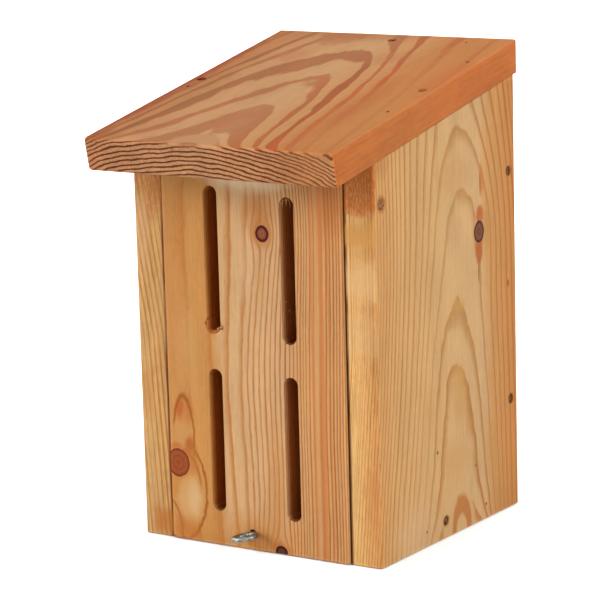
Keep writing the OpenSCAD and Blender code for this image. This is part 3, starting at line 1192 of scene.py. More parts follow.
@dataclass
class Bores:
    """Cutters for the holes and dents of nails and pins, each turned once and copied."""

    masters: dict[str, Piece] = field(default_factory=dict)

    SHAPES = {
        "nail": ((-2.0, 2.6), (0.2, 2.53), (2.0, 2.52), (2.02, 1.42), (43.0, 1.42)),
        "pivot": ((-2.0, 3.1), (1.3, 3.02), (1.32, 1.52), (40.0, 1.52)),
        "pin": ((-2.0, 0.64), (0.3, 0.63), (31.0, 0.62)),
        # What the hammer crushed round each head
        "nail_dent": ((-2.0, 9.0), (-0.1, 3.9), (0.25, 3.3), (0.7, 2.0)),
        "pivot_dent": ((-2.0, 9.0), (-0.1, 4.9), (0.2, 4.0), (0.25, 2.0)),
        "pin_dent": ((-2.0, 6.0), (-0.1, 1.5), (0.3, 0.8)),
        "door_pivot": ((-2.0, 1.9), (0.3, 1.59), (21.5, 1.58), (22.2, 0.3)),
        "keeper": ((-2.0, 2.6), (0.2, 2.21), (12.0, 2.2), (13.0, 0.3)),
        "eye": ((-2.0, 3.6), (0.0, 2.4), (0.5, 2.2), (17.6, 2.15), (19.5, 2.8)),
        "wall": ((-2.0, 4.6), (0.3, 3.05), (17.7, 3.0), (20.0, 4.6)),
    }

    def cut(self, shape: str, name: str, way: Way, at: Vector) -> Piece:
        """A cutter of a shape.

        Args:
            shape: Its name in SHAPES, whose zero is the face of the wood.
            name: A name for the piece.
            way: The direction in which it goes.
            at: The point of the face, in metres.

        Returns:
            The cutter.
        """
        if shape not in self.masters:
            self.masters[shape] = Bench.turned("bore_" + shape, self.SHAPES[shape], 32)
        return Bench.twin(self.masters[shape], name, way.matrix(at))

    def clear(self) -> None:
        """Removes the masters."""
        for piece in self.masters.values():
            bpy.data.objects.remove(piece)


@dataclass
class Board:
    """One planed board: a sawn block with soft edges, slight planing waves and its holes.

    Edges that stand as far from the house's middle as tight, at the front board's joints, are crisp.
    """

    name: str
    body: str
    slot: str
    finish: Larch
    corner: Vector
    size: Vector
    grain: Vector
    soft: float
    crisp: float = 0.45
    cell: float = 3.0
    waves: float = 0.16
    tight: float = 0.0
    cutters: list[Piece] = field(default_factory=list)
    dents: list[Piece] = field(default_factory=list)

    # Cosines: faces that lie flatter have no edge between them, and an edge nearer the grain is long
    FLAT, LONG = 0.8, 0.7
    # Millimetres either side of the joint that still belong to it
    JOINT = 0.2
    # Each wave of the planing: its length in metres, and its share of the height
    WAVES = ((0.021, 1.0), (0.006, 0.45))
    # Degrees up to which an edge is shaded round
    ROUND = 32.0

    def block(self) -> Piece:
        """A plain box at the board's place."""
        return Bench.body(self.name, bpy.ops.mesh.primitive_cube_add, size=1,
                          location=self.corner + self.size / 2, scale=self.size)

    def grid(self, piece: Piece) -> None:
        """Cuts the six faces into even cells, one direction after the other."""
        axes = (Vector(self.finish.lie.across), Vector(self.finish.lie.inward),
                Vector(self.finish.lie.along))
        for axis in axes:
            mesh = piece.data
            wanted, longest = [], 0.0
            for edge in mesh.edges:
                first, last = (mesh.vertices[i].co for i in edge.vertices)
                run = last - first
                if max(axes, key=lambda a: abs(run.dot(a))) is axis:
                    wanted.append(edge.index)
                    longest = max(longest, run.length)
            cuts = int(longest / MM / self.cell)
            if cuts > 1:
                Bench.pick(piece, "EDGE", wanted)
                bpy.ops.mesh.subdivide(number_cuts=cuts)
                Bench.leave()

    def saw(self, piece: Piece, at: Vector, outward: Vector) -> None:
        """Saws off what lies beyond a plane.

        Args:
            piece: The board.
            at: A point of the plane.
            outward: The side that falls off.
        """
        Bench.enter(piece)
        bpy.ops.mesh.bisect(plane_co=at, plane_no=outward, use_fill=True, clear_outer=True,
                            threshold=1e-7)
        Bench.leave()

    def soften(self, piece: Piece, crisp_beyond: float | None = None) -> None:
        """Rounds the long edges fully, and the sawn ends and the joint's edges a little.

        Args:
            piece: The board.
            crisp_beyond: Where along the grain the crisp ends begin; all are crisp if None.
        """
        mesh = piece.data
        sides: dict[tuple[int, int], list[Vector]] = {}
        for face in mesh.polygons:
            for key in face.edge_keys:
                sides.setdefault(key, []).append(face.normal)
        weights = mesh.attributes.new("bevel_weight_edge", "FLOAT", "EDGE")
        for edge in mesh.edges:
            pair = sides[edge.key]
            if len(pair) < 2 or pair[0].dot(pair[1]) > self.FLAT:
                continue
            first, last = (mesh.vertices[i].co for i in edge.vertices)
            long = abs((last - first).normalized().dot(self.grain)) > self.LONG
            far = crisp_beyond is not None and first.dot(self.grain) < crisp_beyond
            fine = self.tight > 0 and abs(abs(first.x) - self.tight * MM) < self.JOINT * MM
            whole = (long and not fine) or far
            weights.data[edge.index].value = 1.0 if whole else self.crisp / self.soft
        Bench.finish_with(piece, "BEVEL", limit_method="WEIGHT", width=self.soft * MM, segments=4,
                          use_clamp_overlap=False)

    def plane(self, piece: Piece) -> None:
        """Gives the faces slight waves, always inwards, so that the board keeps its size."""
        for size, part in self.WAVES:
            cloud = bpy.data.textures.new(f"{self.name}_wave", "CLOUDS")
            cloud.noise_scale = size
            Bench.finish_with(piece, "DISPLACE", texture=cloud, texture_coords="LOCAL",
                              strength=-self.waves * part * MM, mid_level=0.0)

    def drill(self, piece: Piece) -> None:
        """Cuts all dents, then all holes and slots."""
        for tools in (self.dents, self.cutters):
            if tools:
                cutter = Bench.joined(tools, self.name + "_cutter")
                Bench.finish_with(piece, "BOOLEAN", object=cutter, operation="DIFFERENCE",
                                  solver="MANIFOLD")
                bpy.data.objects.remove(cutter)

    def smooth(self, piece: Piece) -> None:
        """Shades the soft edges round and keeps the faces flat."""
        Bench.shade(piece, self.ROUND)
        Bench.finish_with(piece, "WEIGHTED_NORMAL", keep_sharp=True, weight=80)

    def hand_over(self, piece: Piece) -> Piece:
        """Dresses the board and fixes it to its body in place of the CAD node."""
        self.finish.dress(piece)
        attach(piece, self.body)
        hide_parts(self.name)
        piece.name = self.name + "_planed"
        return piece

    def build(self) -> Piece:
        """Makes the whole board."""
        piece = self.block()
        self.shape(piece)
        self.plane(piece)
        self.drill(piece)
        self.smooth(piece)
        return self.hand_over(piece)

    def shape(self, piece: Piece) -> None:
        """Cuts the cells and softens the block."""
        self.grid(piece)
        self.soften(piece)


@dataclass
class UprightBoard(Board):
    """A standing board whose top follows the roof."""

    def shape(self, piece: Piece) -> None:
        """Saws the top to the roof's slope, then softens the block."""
        self.saw(piece, spot(0, 0, FRONT_H), Vector((0, -SIN, COS)))
        self.grid(piece)
        self.soften(piece)


@dataclass
class RoofBoard(Board):
    """The roof: a level block tipped to the slope, then sawn plumb at the rear."""

    def shape(self, piece: Piece) -> None:
        """Tips the block about its front edge, saws its rear end and softens it."""
        Bench.hold(piece)
        piece.rotation_euler = (PITCH, 0, 0)
        piece.location = roof_spot(0, 0, ROOF_T)
        Bench.settle(piece)
        self.saw(piece, spot(0, HOUSE_D - 0.02, 0), Vector((0, 1, 0)))
        self.grid(piece)
        self.soften(piece, crisp_beyond=spot(0, 0, FRONT_H).dot(self.grain))


@dataclass
class SlottedDoor(Board):
    """The front board with its four routed slots."""

    slot_width: float = 8.5
    slot_length: float = 76.5
    places: tuple[tuple[float, float], ...] = (
        (-24.7, 56.85), (22.5, 56.85), (-24.7, 153.65), (22.5, 150.65))
    cutter_length: float = 20.0
    middle: float = 7.5
    broken_edge: float = 0.35
    mouth: float = 1.35
    chip: Triple = (-24.9, -2.0, 117.6)
    chip_half: Triple = (4.2, 2.4, 3.0)

    def router(self) -> Piece:
        """A cutter for one slot at the origin, its mouth slightly flared."""
        radius = self.slot_width / 2
        piece = Bench.body("router", bpy.ops.mesh.primitive_cylinder_add, vertices=48,
                           radius=radius * MM, depth=self.cutter_length * MM,
                           rotation=(math.radians(90), 0, 0))
        half = (self.slot_length - self.slot_width) / 2 * MM
        for side in (-1, 1):
            wanted = [v.index for v in piece.data.vertices if side * v.co.z > 1e-6]
            Bench.pick(piece, "VERT", wanted)
            bpy.ops.transform.translate(value=(0, 0, side * half))
            Bench.leave()
        # Mouth: the front end is moved to just inside the face, then drawn out wider
        front = [f.index for f in piece.data.polygons if f.normal.y < -0.9]
        Bench.pick(piece, "FACE", front)
        inside = self.cutter_length / 2 + DOOR_FRONT - self.middle + self.broken_edge
        bpy.ops.transform.translate(value=(0, inside * MM, 0))
        bpy.ops.mesh.extrude_region_move(TRANSFORM_OT_translate={"value": (0, -self.mouth * MM, 0)})
        wide = 1 + 2 * self.mouth / self.slot_width
        long = 1 + 2 * self.mouth / self.slot_length
        bpy.ops.transform.resize(value=(wide, 1, long), center_override=(0, 0, 0))
        Bench.leave()
        Bench.outwards(piece)
        return piece

    def shape(self, piece: Piece) -> None:
        """Softens the block and lays out the slot cutters."""
        self.grid(piece)
        self.soften(piece)
        master = self.router()
        for index, (x, z) in enumerate(self.places):
            self.cutters.append(Bench.twin(master, f"slot_cut_{index}",
                                           Matrix.Translation(spot(x, self.middle, z))))
        bpy.data.objects.remove(master)
        # The router tore out the lower end of the upper left slot
        self.dents.append(Bench.body("chip", bpy.ops.mesh.primitive_uv_sphere_add, segments=32,
                                     ring_count=20, radius=MM, location=spot(*self.chip),
                                     scale=self.chip_half))


# The boards' wood

DOOR_LIE = Lie((1, 0, 0), (0, 1, 0), (0, 0, 1), tuple(spot(0, DOOR_FRONT, 0)))
RIGHT_LIE = Lie((0, 1, 0), (-1, 0, 0), (0, 0, 1), tuple(spot(HOUSE_W / 2, 0, 0)))
LEFT_LIE = Lie((0, -1, 0), (1, 0, 0), (0, 0, 1), tuple(spot(-HOUSE_W / 2, 0, 0)))
BACK_LIE = Lie((-1, 0, 0), (0, -1, 0), (0, 0, 1), tuple(spot(0, HOUSE_D, 0)))
FLOOR_LIE = Lie((0, 1, 0), (0, 0, 1), (1, 0, 0), tuple(spot(0, 0, 0)))
ROOF_LIE = Lie((1, 0, 0), (0, SIN, -COS), (0, COS, SIN), tuple(roof_spot(0, 0, 0)))

# The borders that come often: where a stain starts to fade, where it ends, and how uneven it is
HAZE, CLOUD, VEIL = (0.2, 1.2, 0.9), (0.1, 1.2, 0.6), (0.1, 1.2, 0.5)
SPOT, PIN = (0.5, 1.1, 0.6), (0.4, 1.1, 0.5)

ROOF_WOOD = Larch(
    name="larch_roof", lie=ROOF_LIE, low=(-76, 0, 0), high=(76, 18.5, 188),
    pith=(-6, 138), drift=(0, 0.052), seed=2,
    growth=((108.9, 0), (144.9, 15), (146.8, 16), (148.75, 17), (150.6, 18), (152.4, 19),
            (154.6, 20), (159.4, 21), (165.2, 22), (177, 24)),
    record=(0.34, 0.5, 0.4, 0.56, 0.36, 0.48, 0.3, 0.5, 0.4, 0.54, 0.34, 0.46, 0.4, 0.54, 0.36,
            0.78, 0.31, 0.46, 0.38, 0.44, 0.22, 0.2, 0.22, 0.2, 0.22),
    wobble=0.22, ripple=0.28, share_drift=0.5, wave=(20, 20, 34), softness=0.07, edge=0.05,
    early=((0, (184, 118, 68)), (0.09, (190, 130, 82)), (0.23, (199, 145, 100)),
           (0.49, (201, 153, 105)), (0.67, (201, 143, 91)), (0.78, (197, 129, 75)),
           (1, (196, 126, 71))),
    late=((0, (148, 88, 46)), (0.23, (170, 108, 66)), (0.49, (174, 110, 70)),
          (0.64, (170, 94, 52)), (0.75, (190, 94, 50)), (0.84, (190, 114, 62)),
          (1, (186, 110, 59))),
    lattice=Lattice(-62, 24, 0, 44, (
        (-1.13, -0.75, -1.44, -0.56, -0.84), (3.20, 2.17, 1.60, 0.37, 0.39),
        (1.44, 0.79, 1.52, 2.02, 1.67), (2.78, 0.20, 2.08, -1.49, 1.71),
        (3.11, 1.38, 1.15, 1.62, 2.35))),
    stains=(Stain(-74, 95, 12, 120, (190, 112, 72), 0.5, 0.1, 1.2, 0.9),
            Stain(70, 118, 10, 40, (198, 110, 58), 0.65, *HAZE),
            Stain(60, 60, 22, 90, (200, 134, 76), 0.4, *HAZE),
            Stain(-29, 190, 16, 27, (184, 122, 80), 0.85, 0.8, 1.05, 0.6, layer=(-4, 1)),
            Stain(-76, 96, 9, 150, (156, 76, 28), 0.85, 0.2, 1.15, 0.9, layer=(-4, 1.6)),
            Stain(-72, 4, 16, 15, (150, 80, 42), 0.6, *HAZE, layer=(-4, 1)),
            Stain(-18, 189, 52, 18, (172, 104, 62), 0.65, *HAZE, layer=(-4, 1)),
            Stain(-11, 40, 9, 15, (184, 110, 64), 0.4, *HAZE),
            Stain(-41, 146, 11, 15, (184, 116, 72), 0.45, *HAZE),
            Stain(49, 70, 9, 66, (184, 104, 56), 0.5, *HAZE),
            Stain(20, 148, 16, 13, (188, 122, 78), 0.4, *HAZE),
            Stain(-4, 32, 9.5, 15.5, (181, 116, 78), 0.95, 0.85, 1.05, 0.5, layer=(-4, 1)),
            Stain(-9, 3, 16, 14, (198, 146, 102), 0.9, 0.8, 1.05, 0.4, layer=(-4, 1)),
            Stain(-10, -1.5, 9, 5, (150, 90, 60), 0.8, 0.6, 1.1, 0.5, layer=(-4, 1)),
            Stain(4, 179.4, 2.9, 3.1, (72, 38, 22), 0.85, 0.5, 1.1, 0.7),
            Stain(-69.05, 99.8, 3, 3.2, (88, 46, 24), 0.85, 0.5, 1.1, 0.7),
            Stain(69.05, 99.8, 2.6, 3, (150, 92, 46), 0.8, 0.4, 1.1, 0.7),
            Stain(-69.05, 86.6, 1.2, 2, (78, 46, 28), 0.85, *PIN),
            Stain(69.05, 64.2, 1.1, 1.6, (84, 48, 28), 0.85, *PIN),
            Stain(69.05, 146.8, 1, 1.8, (84, 48, 28), 0.85, *PIN),
            Stain(50.25, 179.4, 1, 1.4, (96, 54, 30), 0.8, *PIN)),
    end_tone=(190, 138, 100), end_late=0.9, end_line=(100, 52, 26), end_share=0.38,
    edge_tones=((250, 222, 192), (250, 222, 192)), edge_late=0.35)

DOOR_WOOD = Larch(
    name="larch_door", lie=DOOR_LIE, low=(-55.45, 0, 0.2), high=(55.45, 18, 204.2),
    pith=(-45, 90), drift=(0, 0), seed=5,
    growth=((84, -4), (94.7, 0), (97.05, 1), (98.78, 2), (99.62, 3), (100.42, 4), (101.27, 5),
            (102.27, 6), (104.36, 8), (105.57, 9), (107.06, 10), (111.92, 14), (114.1, 16),
            (117.4, 18), (121.3, 19), (123.4, 20), (127, 22), (130, 24), (136, 28)),
    wobble=0.2, wave=(22, 22, 56), share=0.27, spread=0.12, softness=0.24, edge=0.10,
    record=(0.2, 0.24, 0.26, 0.3, 0.26, 0.3, 0.24, 0.3, 0.26, 0.32, 0.28, 0.3, 0.26, 0.32, 0.28,
            0.3, 0.34, 0.3, 0.36, 0.3, 0.34, 0.38, 0.3, 0.36, 0.32, 0.36, 0.3, 0.34, 0.3),
    early=((0, (205, 147, 86)), (0.24, (204, 145, 84)), (0.35, (214, 170, 122)),
           (0.62, (215, 170, 124)), (0.76, (212, 160, 108)), (1, (214, 160, 106))),
    late=((0, (184, 116, 60)), (0.28, (192, 124, 64)), (0.5, (184, 120, 62)),
          (0.78, (174, 103, 50)), (1, (172, 98, 48))),
    lattice=Lattice(-20, 24, 8, 46, (
        (1.82, 1.59, 1.59, 1.21, 2.88), (-0.82, -0.47, 0.34, -1.17, -1.76),
        (-1.67, -1.79, -1.88, -1.04, -3.29), (-1.49, 0.92, -0.80, -0.80, -0.83))),
    knots=(
        Knot(7.3, 169, 3.9, 4.2, 3, 1.3, (160, 94, 64), (122, 68, 46), (86, 42, 28),
             (194, 124, 68), years=2.4, rim_width=0.26, halo_reach=2.5),
        Knot(-50.3, 41.8, 7.1, 7.5, 6, 1.6, (164, 86, 54), (146, 74, 44), (128, 60, 34),
             (200, 130, 76), years=2.6, rim_width=0.08, halo_reach=1.3),
        Knot(14, 1.2, 3.5, 3.1, 3.6, 1.5, (106, 70, 56), (88, 54, 42), (70, 34, 26),
             (194, 120, 60), years=1.2, rim_width=0.3, halo_reach=2.6),
    ),
    stains=(
        Stain(-54, 130, 12, 60, (206, 142, 86), 0.5, 0.2, 1.2, 0.5),
        Stain(-42, 106, 8, 36, (218, 166, 104), 0.5, *VEIL),
        Stain(5, 180, 13, 15, (184, 112, 52), 0.6, *VEIL),
        Stain(-3, 150, 5, 24, (224, 184, 140), 0.4, *VEIL),
        Stain(5, 146, 4, 16, (198, 142, 86), 0.4, *VEIL),
        Stain(48, 188, 13, 28, (188, 110, 56), 0.6, *VEIL),
        Stain(12, 34, 7, 46, (196, 132, 70), 0.5, *VEIL),
        # Painted light at the top of the front board, lifting the shade under the roof's overhang
        Stain(-2, 206, 42, 17, (255, 226, 184), 0.95, 0.5, 1.1, 0.3),
        Stain(-44, 206, 14, 15, (238, 180, 120), 0.6, 0.2, 1.1, 0.3),
        Stain(-50.5, 27.5, 18, 28, (164, 94, 44), 0.95, outline=0.075, uneven=0.16),
        Stain(-53.4, 56, 5, 6, (205, 146, 84), 0.95, 0.6, 1.1, 0.2),
        Stain(-46.2, 55, 6.6, 23.2, (207, 150, 90), 0.9, 0.9, 1.03, 0.2),
        Stain(-48.4, 71, 3.8, 7, (192, 100, 52), 0.85, 0.3, 1.2, 0.8),
        Stain(-43, 71, 4, 9, (190, 112, 54), 0.6, 0.3, 1.2, 0.8),
        Stain(-46.2, 55, 6.6, 23.2, (168, 94, 44), 0.95, outline=0.15, uneven=0.2),
        Stain(-53.6, 53, 4.6, 11, (206, 148, 86), 0.9, 0.7, 1.1, 0.3),
        Stain(-49.5, 27, 15.4, 25.6, (204, 140, 74), 0.9, 0.9, 1.03, 0.16),
        Stain(-48, 30, 11.5, 19, (166, 98, 48), 0.8, outline=0.10, uneven=0.2),
        Stain(-48, 15, 10, 11, (206, 148, 88), 0.95, 0.8, 1.1, 0.3),
        Stain(-43, 22.5, 9, 15.5, (214, 164, 108), 0.85, 0.6, 1.1, 0.4),
        Stain(-40.5, 45, 4.6, 9, (192, 122, 62), 0.6, 0.2, 1.2, 0.5),
        Stain(-41, 23, 5.6, 11, (221, 182, 132), 0.75, 0.2, 1.2, 0.6),
        Stain(-42.4, 52.5, 4, 6, (186, 104, 54), 0.9, 0.3, 1.15, 0.9),
        Stain(-51.5, 50.5, 5, 3, (196, 112, 66), 0.75, 0.3, 1.2, 0.7),
        Stain(-44, 6, 7, 9, (198, 126, 66), 0.75, 0.2, 1.2, 0.7),
        Stain(-60, 2, 11, 21, (176, 104, 54), 0.85, outline=0.10, uneven=0.16),
        Stain(-2, 2, 34, 24, (208, 130, 54), 0.6, 0.1, 1.1, 0.5),
        Stain(-50, 7, 5, 10, (190, 114, 56), 0.6, 0.2, 1.1, 0.6),
        Stain(-55.6, 102, 0.8, 400, (66, 30, 8), 0.9, *SPOT),
        Stain(-24.9, 115.2, 2.6, 5.2, (206, 132, 78), 0.6, 0.3, 1.1, 0.7),
        Stain(-24.7, 119.2, 4.5, 4.9, (224, 132, 72), 0.85, 0.94, 1.08, 0.2, layer=(-4, 9)),
        Stain(-27, 116.6, 2.2, 3.4, (172, 92, 40), 0.7, 0.4, 1.1, 0.8, layer=(-4, 4)),
        Stain(-24.8, 119.2, 4.7, 4.9, (120, 62, 28), 0.85, outline=0.08, uneven=0.5, layer=(-4, 2)),
        Stain(-19.6, 116.9, 1.8, 0.6, (120, 68, 32), 0.7, *PIN),
        Stain(-29.9, 119.2, 0.8, 1.2, (140, 78, 36), 0.7, 0.4, 1.1, 0.8),
        Stain(42.2, 100, 1.5, 300, (208, 128, 74), 0.85, 0.45, 1.1, 0.5),
        Stain(36.6, 100, 1.1, 300, (204, 126, 72), 0.6, *PIN),
        Stain(46.6, 100, 0.8, 300, (200, 124, 72), 0.5, 0.4, 1.1, 0.6),
        Stain(39.6, 102, 5.5, 300, (212, 148, 94), 0.25, 0.2, 1.2, 0.3),
    ),
    routed=True)

SIDE_EARLY = ((0, (212, 160, 102)), (0.2, (212, 165, 111)), (0.38, (209, 165, 112)),
              (0.55, (208, 167, 116)), (0.72, (208, 167, 117)), (0.83, (203, 148, 90)),
              (1, (200, 136, 76)))
SIDE_LATE = ((0, (182, 122, 62)), (0.3, (180, 126, 66)), (0.6, (178, 126, 66)),
             (0.83, (178, 106, 52)), (1, (176, 102, 50)))

RIGHT_WOOD = Larch(
    name="larch_side_right", lie=RIGHT_LIE, low=(0, 0, 0), high=(145, 18, 236),
    pith=(83, 137.4), drift=(0, 0.026), seed=8,
    growth=((118, -14), (140.6, -1), (141.5, 0), (142.16, 1), (142.61, 2), (143.06, 3),
            (143.67, 4), (144.58, 5), (145.4, 6), (146.38, 7), (147.81, 8), (151.04, 10),
            (153.9, 12), (156.8, 14), (161.1, 17), (168, 22)),
    record=(0.34, 0.24, 0.26, 0.1, 0.1, 0.2, 0.24, 0.26, 0.24, 0.28, 0.25, 0.28, 0.26, 0.28,
            0.25, 0.28, 0.25, 0.28, 0.26, 0.28, 0.26),
    wobble=0.07, ripple=0.06, wave=(22, 22, 48), softness=0.26, edge=0.07,
    early=SIDE_EARLY, late=SIDE_LATE,
    lattice=Lattice(0, 36, 0, 58, (
        (-5.16, 0.35, -0.39, 1.92, -2.91), (-0.13, -0.67, -1.14, -0.92, -0.78),
        (3.21, 0.65, 1.51, 1.03, 1.07), (1.75, 0.49, 1.77, -0.83, 1.36),
        (-1.20, -1.42, -1.73, -2.06, -1.03))),
    edge_lean=(0.11, 0.03),
    knots=(Knot(105, 158, 5, 5.6, 3, 1.6, (128, 80, 60), (104, 62, 46), (84, 48, 36),
                (184, 112, 60), years=1.3, rim_width=0.16, halo_reach=1.25),),
    stains=(
        Stain(108.2, 185, 3.2, 10.5, (198, 128, 68), 0.85, *PIN),
        Stain(106.8, 184, 0.9, 9, (160, 90, 42), 0.8, 0.3, 1.1, 0.5),
        Stain(106.2, 167, 4.4, 6, (188, 100, 54), 0.9, 0.6, 1.1, 0.5),
        Stain(104.6, 148.5, 4.4, 9, (180, 98, 50), 0.9, 0.6, 1.1, 0.5),
        Stain(104.3, 136, 1.1, 7.5, (150, 96, 50), 0.75, 0.3, 1.1, 0.6),
        Stain(79.5, 2, 18, 23, (212, 168, 118), 0.9, 0.85, 1.02, 0.15),
        Stain(82.5, 0, 11, 21.5, (187, 119, 63), 0.9, 0.85, 1.03, 0.25),
        Stain(82, -1, 6.2, 11, (214, 172, 122), 0.9, 0.8, 1.05, 0.3),
        Stain(82, 122.5, 10, 6, (203, 153, 86), 0.55, *CLOUD),
        Stain(81, 85, 10, 11, (206, 158, 96), 0.6, *CLOUD),
        Stain(81, 70, 9, 18, (198, 146, 86), 0.6, 0.1, 1.1, 0.5),
        Stain(50, 72, 8, 20, (198, 146, 90), 0.4, *CLOUD),
        Stain(78, 40, 18, 16, (200, 146, 84), 0.4, *CLOUD),
        Stain(116, 38, 12, 22, (196, 142, 82), 0.4, *CLOUD),
        Stain(127, 8, 12, 14, (194, 134, 80), 0.4, *CLOUD),
        Stain(80, 192, 22, 14, (194, 142, 88), 0.4, *CLOUD),
        Stain(80, 160, 9, 14, (202, 154, 104), 0.4, *CLOUD),
        Stain(113, 160, 7, 18, (190, 132, 76), 0.55, *CLOUD),
        Stain(34, 8, 28, 22, (222, 184, 140), 0.4, 0.2, 1.2, 0.6),
        Stain(4, 207, 14, 9, (182, 118, 66), 0.6, 0.2, 1.1, 0.8, grit=0.4),
        Stain(0, 120, 1.7, 16, (238, 196, 142), 0.25, 0.3, 1, 0.9),
        Stain(0, 34, 1.7, 26, (206, 138, 80), 0.4, 0.3, 1, 0.9, layer=(-2, 9)),
        Stain(0, 197, 1.7, 16, (194, 104, 50), 0.95, 0.75, 1, 0.8, grit=0.5),
        Stain(0, 172, 1.7, 8, (210, 152, 84), 0.7, 0.3, 1, 0.9),
        Stain(0, 148, 1.7, 14, (238, 196, 140), 0.45, 0.3, 1, 0.9),
        Stain(138, 186, 3.2, 3.4, (104, 58, 32), 0.85, *SPOT),
        Stain(138, 60.5, 3.2, 3.4, (104, 58, 32), 0.85, *SPOT),
        Stain(66, 9, 3.4, 3.6, (96, 56, 34), 0.85, *SPOT),
        Stain(6.6, 187.5, 4.4, 4.8, (176, 112, 54), 0.75, 0.75, 1.1, 0.5),
        Stain(58, 48, 1, 1.2, (104, 60, 34), 0.85, 0.5, 1.1, 0.4),
        Stain(98, 32, 1.4, 0.8, (120, 72, 42), 0.7, 0.5, 1.1, 0.4),
        Stain(136, 125, 1.6, 2.2, (140, 80, 46), 0.7, *SPOT),
    ),
    edge_tones=((246, 234, 226), (290, 308, 318)), grimed=True)

LEFT_WOOD = Larch(
    name="larch_side_left", lie=LEFT_LIE, low=(-145, 0, 0), high=(0, 18, 236),
    pith=(-72, 96), drift=(0, -0.03), seed=11,
    growth=((60, -12), (86, 0), (96, 5), (140, 24)), edge_lean=(0.03, 0.14),
    wobble=0.5, wave=(24, 24, 60), share=0.28, spread=0.12, softness=0.25, edge=0.08,
    early=tuple((1 - p, t) for p, t in reversed(SIDE_EARLY)),
    late=tuple((1 - p, t) for p, t in reversed(SIDE_LATE)),
    knots=(Knot(-44, 96, 5.4, 6.2, 5.4, 2, (150, 88, 56), (112, 64, 42), (78, 42, 30),
                (186, 118, 66), years=2.2, rim_width=0.16, halo_reach=1.5),),
    stains=(
        Stain(0, 203, 1.7, 34, (170, 102, 56), 0.85, 0.4, 1, 0.7, grit=0.5),
        Stain(0, 8, 1.7, 12, (192, 112, 52), 0.7, 0.1, 1, 0.9, layer=(6, 30)),
        Stain(0, 184, 1.7, 18, (184, 118, 66), 0.55, 0.3, 1, 0.8, grit=0.5, layer=(8, 30)),
        Stain(0, 120, 1.7, 26, (230, 180, 122), 0.25, 0.3, 1, 0.8, layer=(8, 30)),
        Stain(0, 166, 1.7, 30, (220, 172, 128), 0.45, 0.3, 1, 0.8, layer=(-2, 8)),
        Stain(0, 78, 1.7, 20, (194, 132, 72), 0.45, 0.3, 1, 0.8, layer=(-2, 8)),
        Stain(-6.6, 187.5, 4.6, 4.6, (120, 80, 52), 0.8, 0.6, 1.1, 0.5),
        Stain(-138, 186, 3.4, 4.2, (104, 60, 36), 0.85, 0.6, 1.1, 0.4),
        Stain(-138, 60.5, 3.4, 4.2, (104, 60, 36), 0.85, 0.6, 1.1, 0.4),
        Stain(-66, 9, 3.6, 4, (96, 60, 40), 0.85, 0.6, 1.1, 0.4),
    ),
    edge_tones=((254, 266, 282), (255, 258, 258)), grimed=True, gain=0.450)

BACK_WOOD = Larch(
    name="larch_back", lie=BACK_LIE, low=(-56.25, 0, 0), high=(56.25, 18, 238),
    pith=(14, 72), drift=(-0.03, 0.034), seed=14,
    growth=((50, -9), (68, 0), (80, 6), (120, 30)),
    wobble=0.55, wave=(24, 24, 60), share=0.27, spread=0.14, softness=0.25, edge=0.08,
    early=((0, (205, 156, 102)), (0.5, (208, 164, 114)), (1, (202, 146, 92))),
    late=((0, (186, 122, 66)), (0.5, (184, 126, 72)), (1, (182, 112, 60))),
    knots=(Knot(-26, 74, 6, 6.8, 6.2, 1.9, (168, 98, 60), (128, 70, 42), (84, 42, 28),
                (192, 120, 68), years=2.8, rim_width=0.14, halo_reach=1.6),
           Knot(33, 196, 3.6, 4, 4.2, 1.7, (126, 78, 56), (84, 48, 36), (58, 32, 26),
                (180, 108, 62), years=1.6, rim_width=0.24, halo_reach=1.6)),
    gain=0.450)

FLOOR_WOOD = Larch(
    name="larch_floor", lie=FLOOR_LIE, low=(16.8, 0, -56.25), high=(127, 18, 56.25),
    pith=(80, -60), drift=(0.02, 0.02), seed=17,
    growth=((50, -4), (62, 0), (72, 5), (130, 34)),
    wobble=0.6, wave=(24, 24, 60), share=0.3, spread=0.14, softness=0.25, edge=0.08, depth=0.9,
    early=((0, (202, 150, 96)), (1, (205, 158, 106))),
    late=((0, (180, 116, 62)), (1, (184, 120, 66))),
    gain=0.450)

NAIL_STEEL = Metal("steel_nail", (158, 104, 58), (84, 50, 28), (76, 42, 22), 0.7, 0.8, 0.0, 0.05)
PIVOT_STEEL = Metal("pivot_nail", (178, 126, 82), (112, 64, 34), (78, 42, 22), 0.7, 0.8, 0.0, 0.05)
EYE_ZINC = Metal("zinc_wire", (194, 194, 184), (134, 132, 120), (112, 98, 76), 0.3, 0.4, 1.0)


# Sub-assemblies


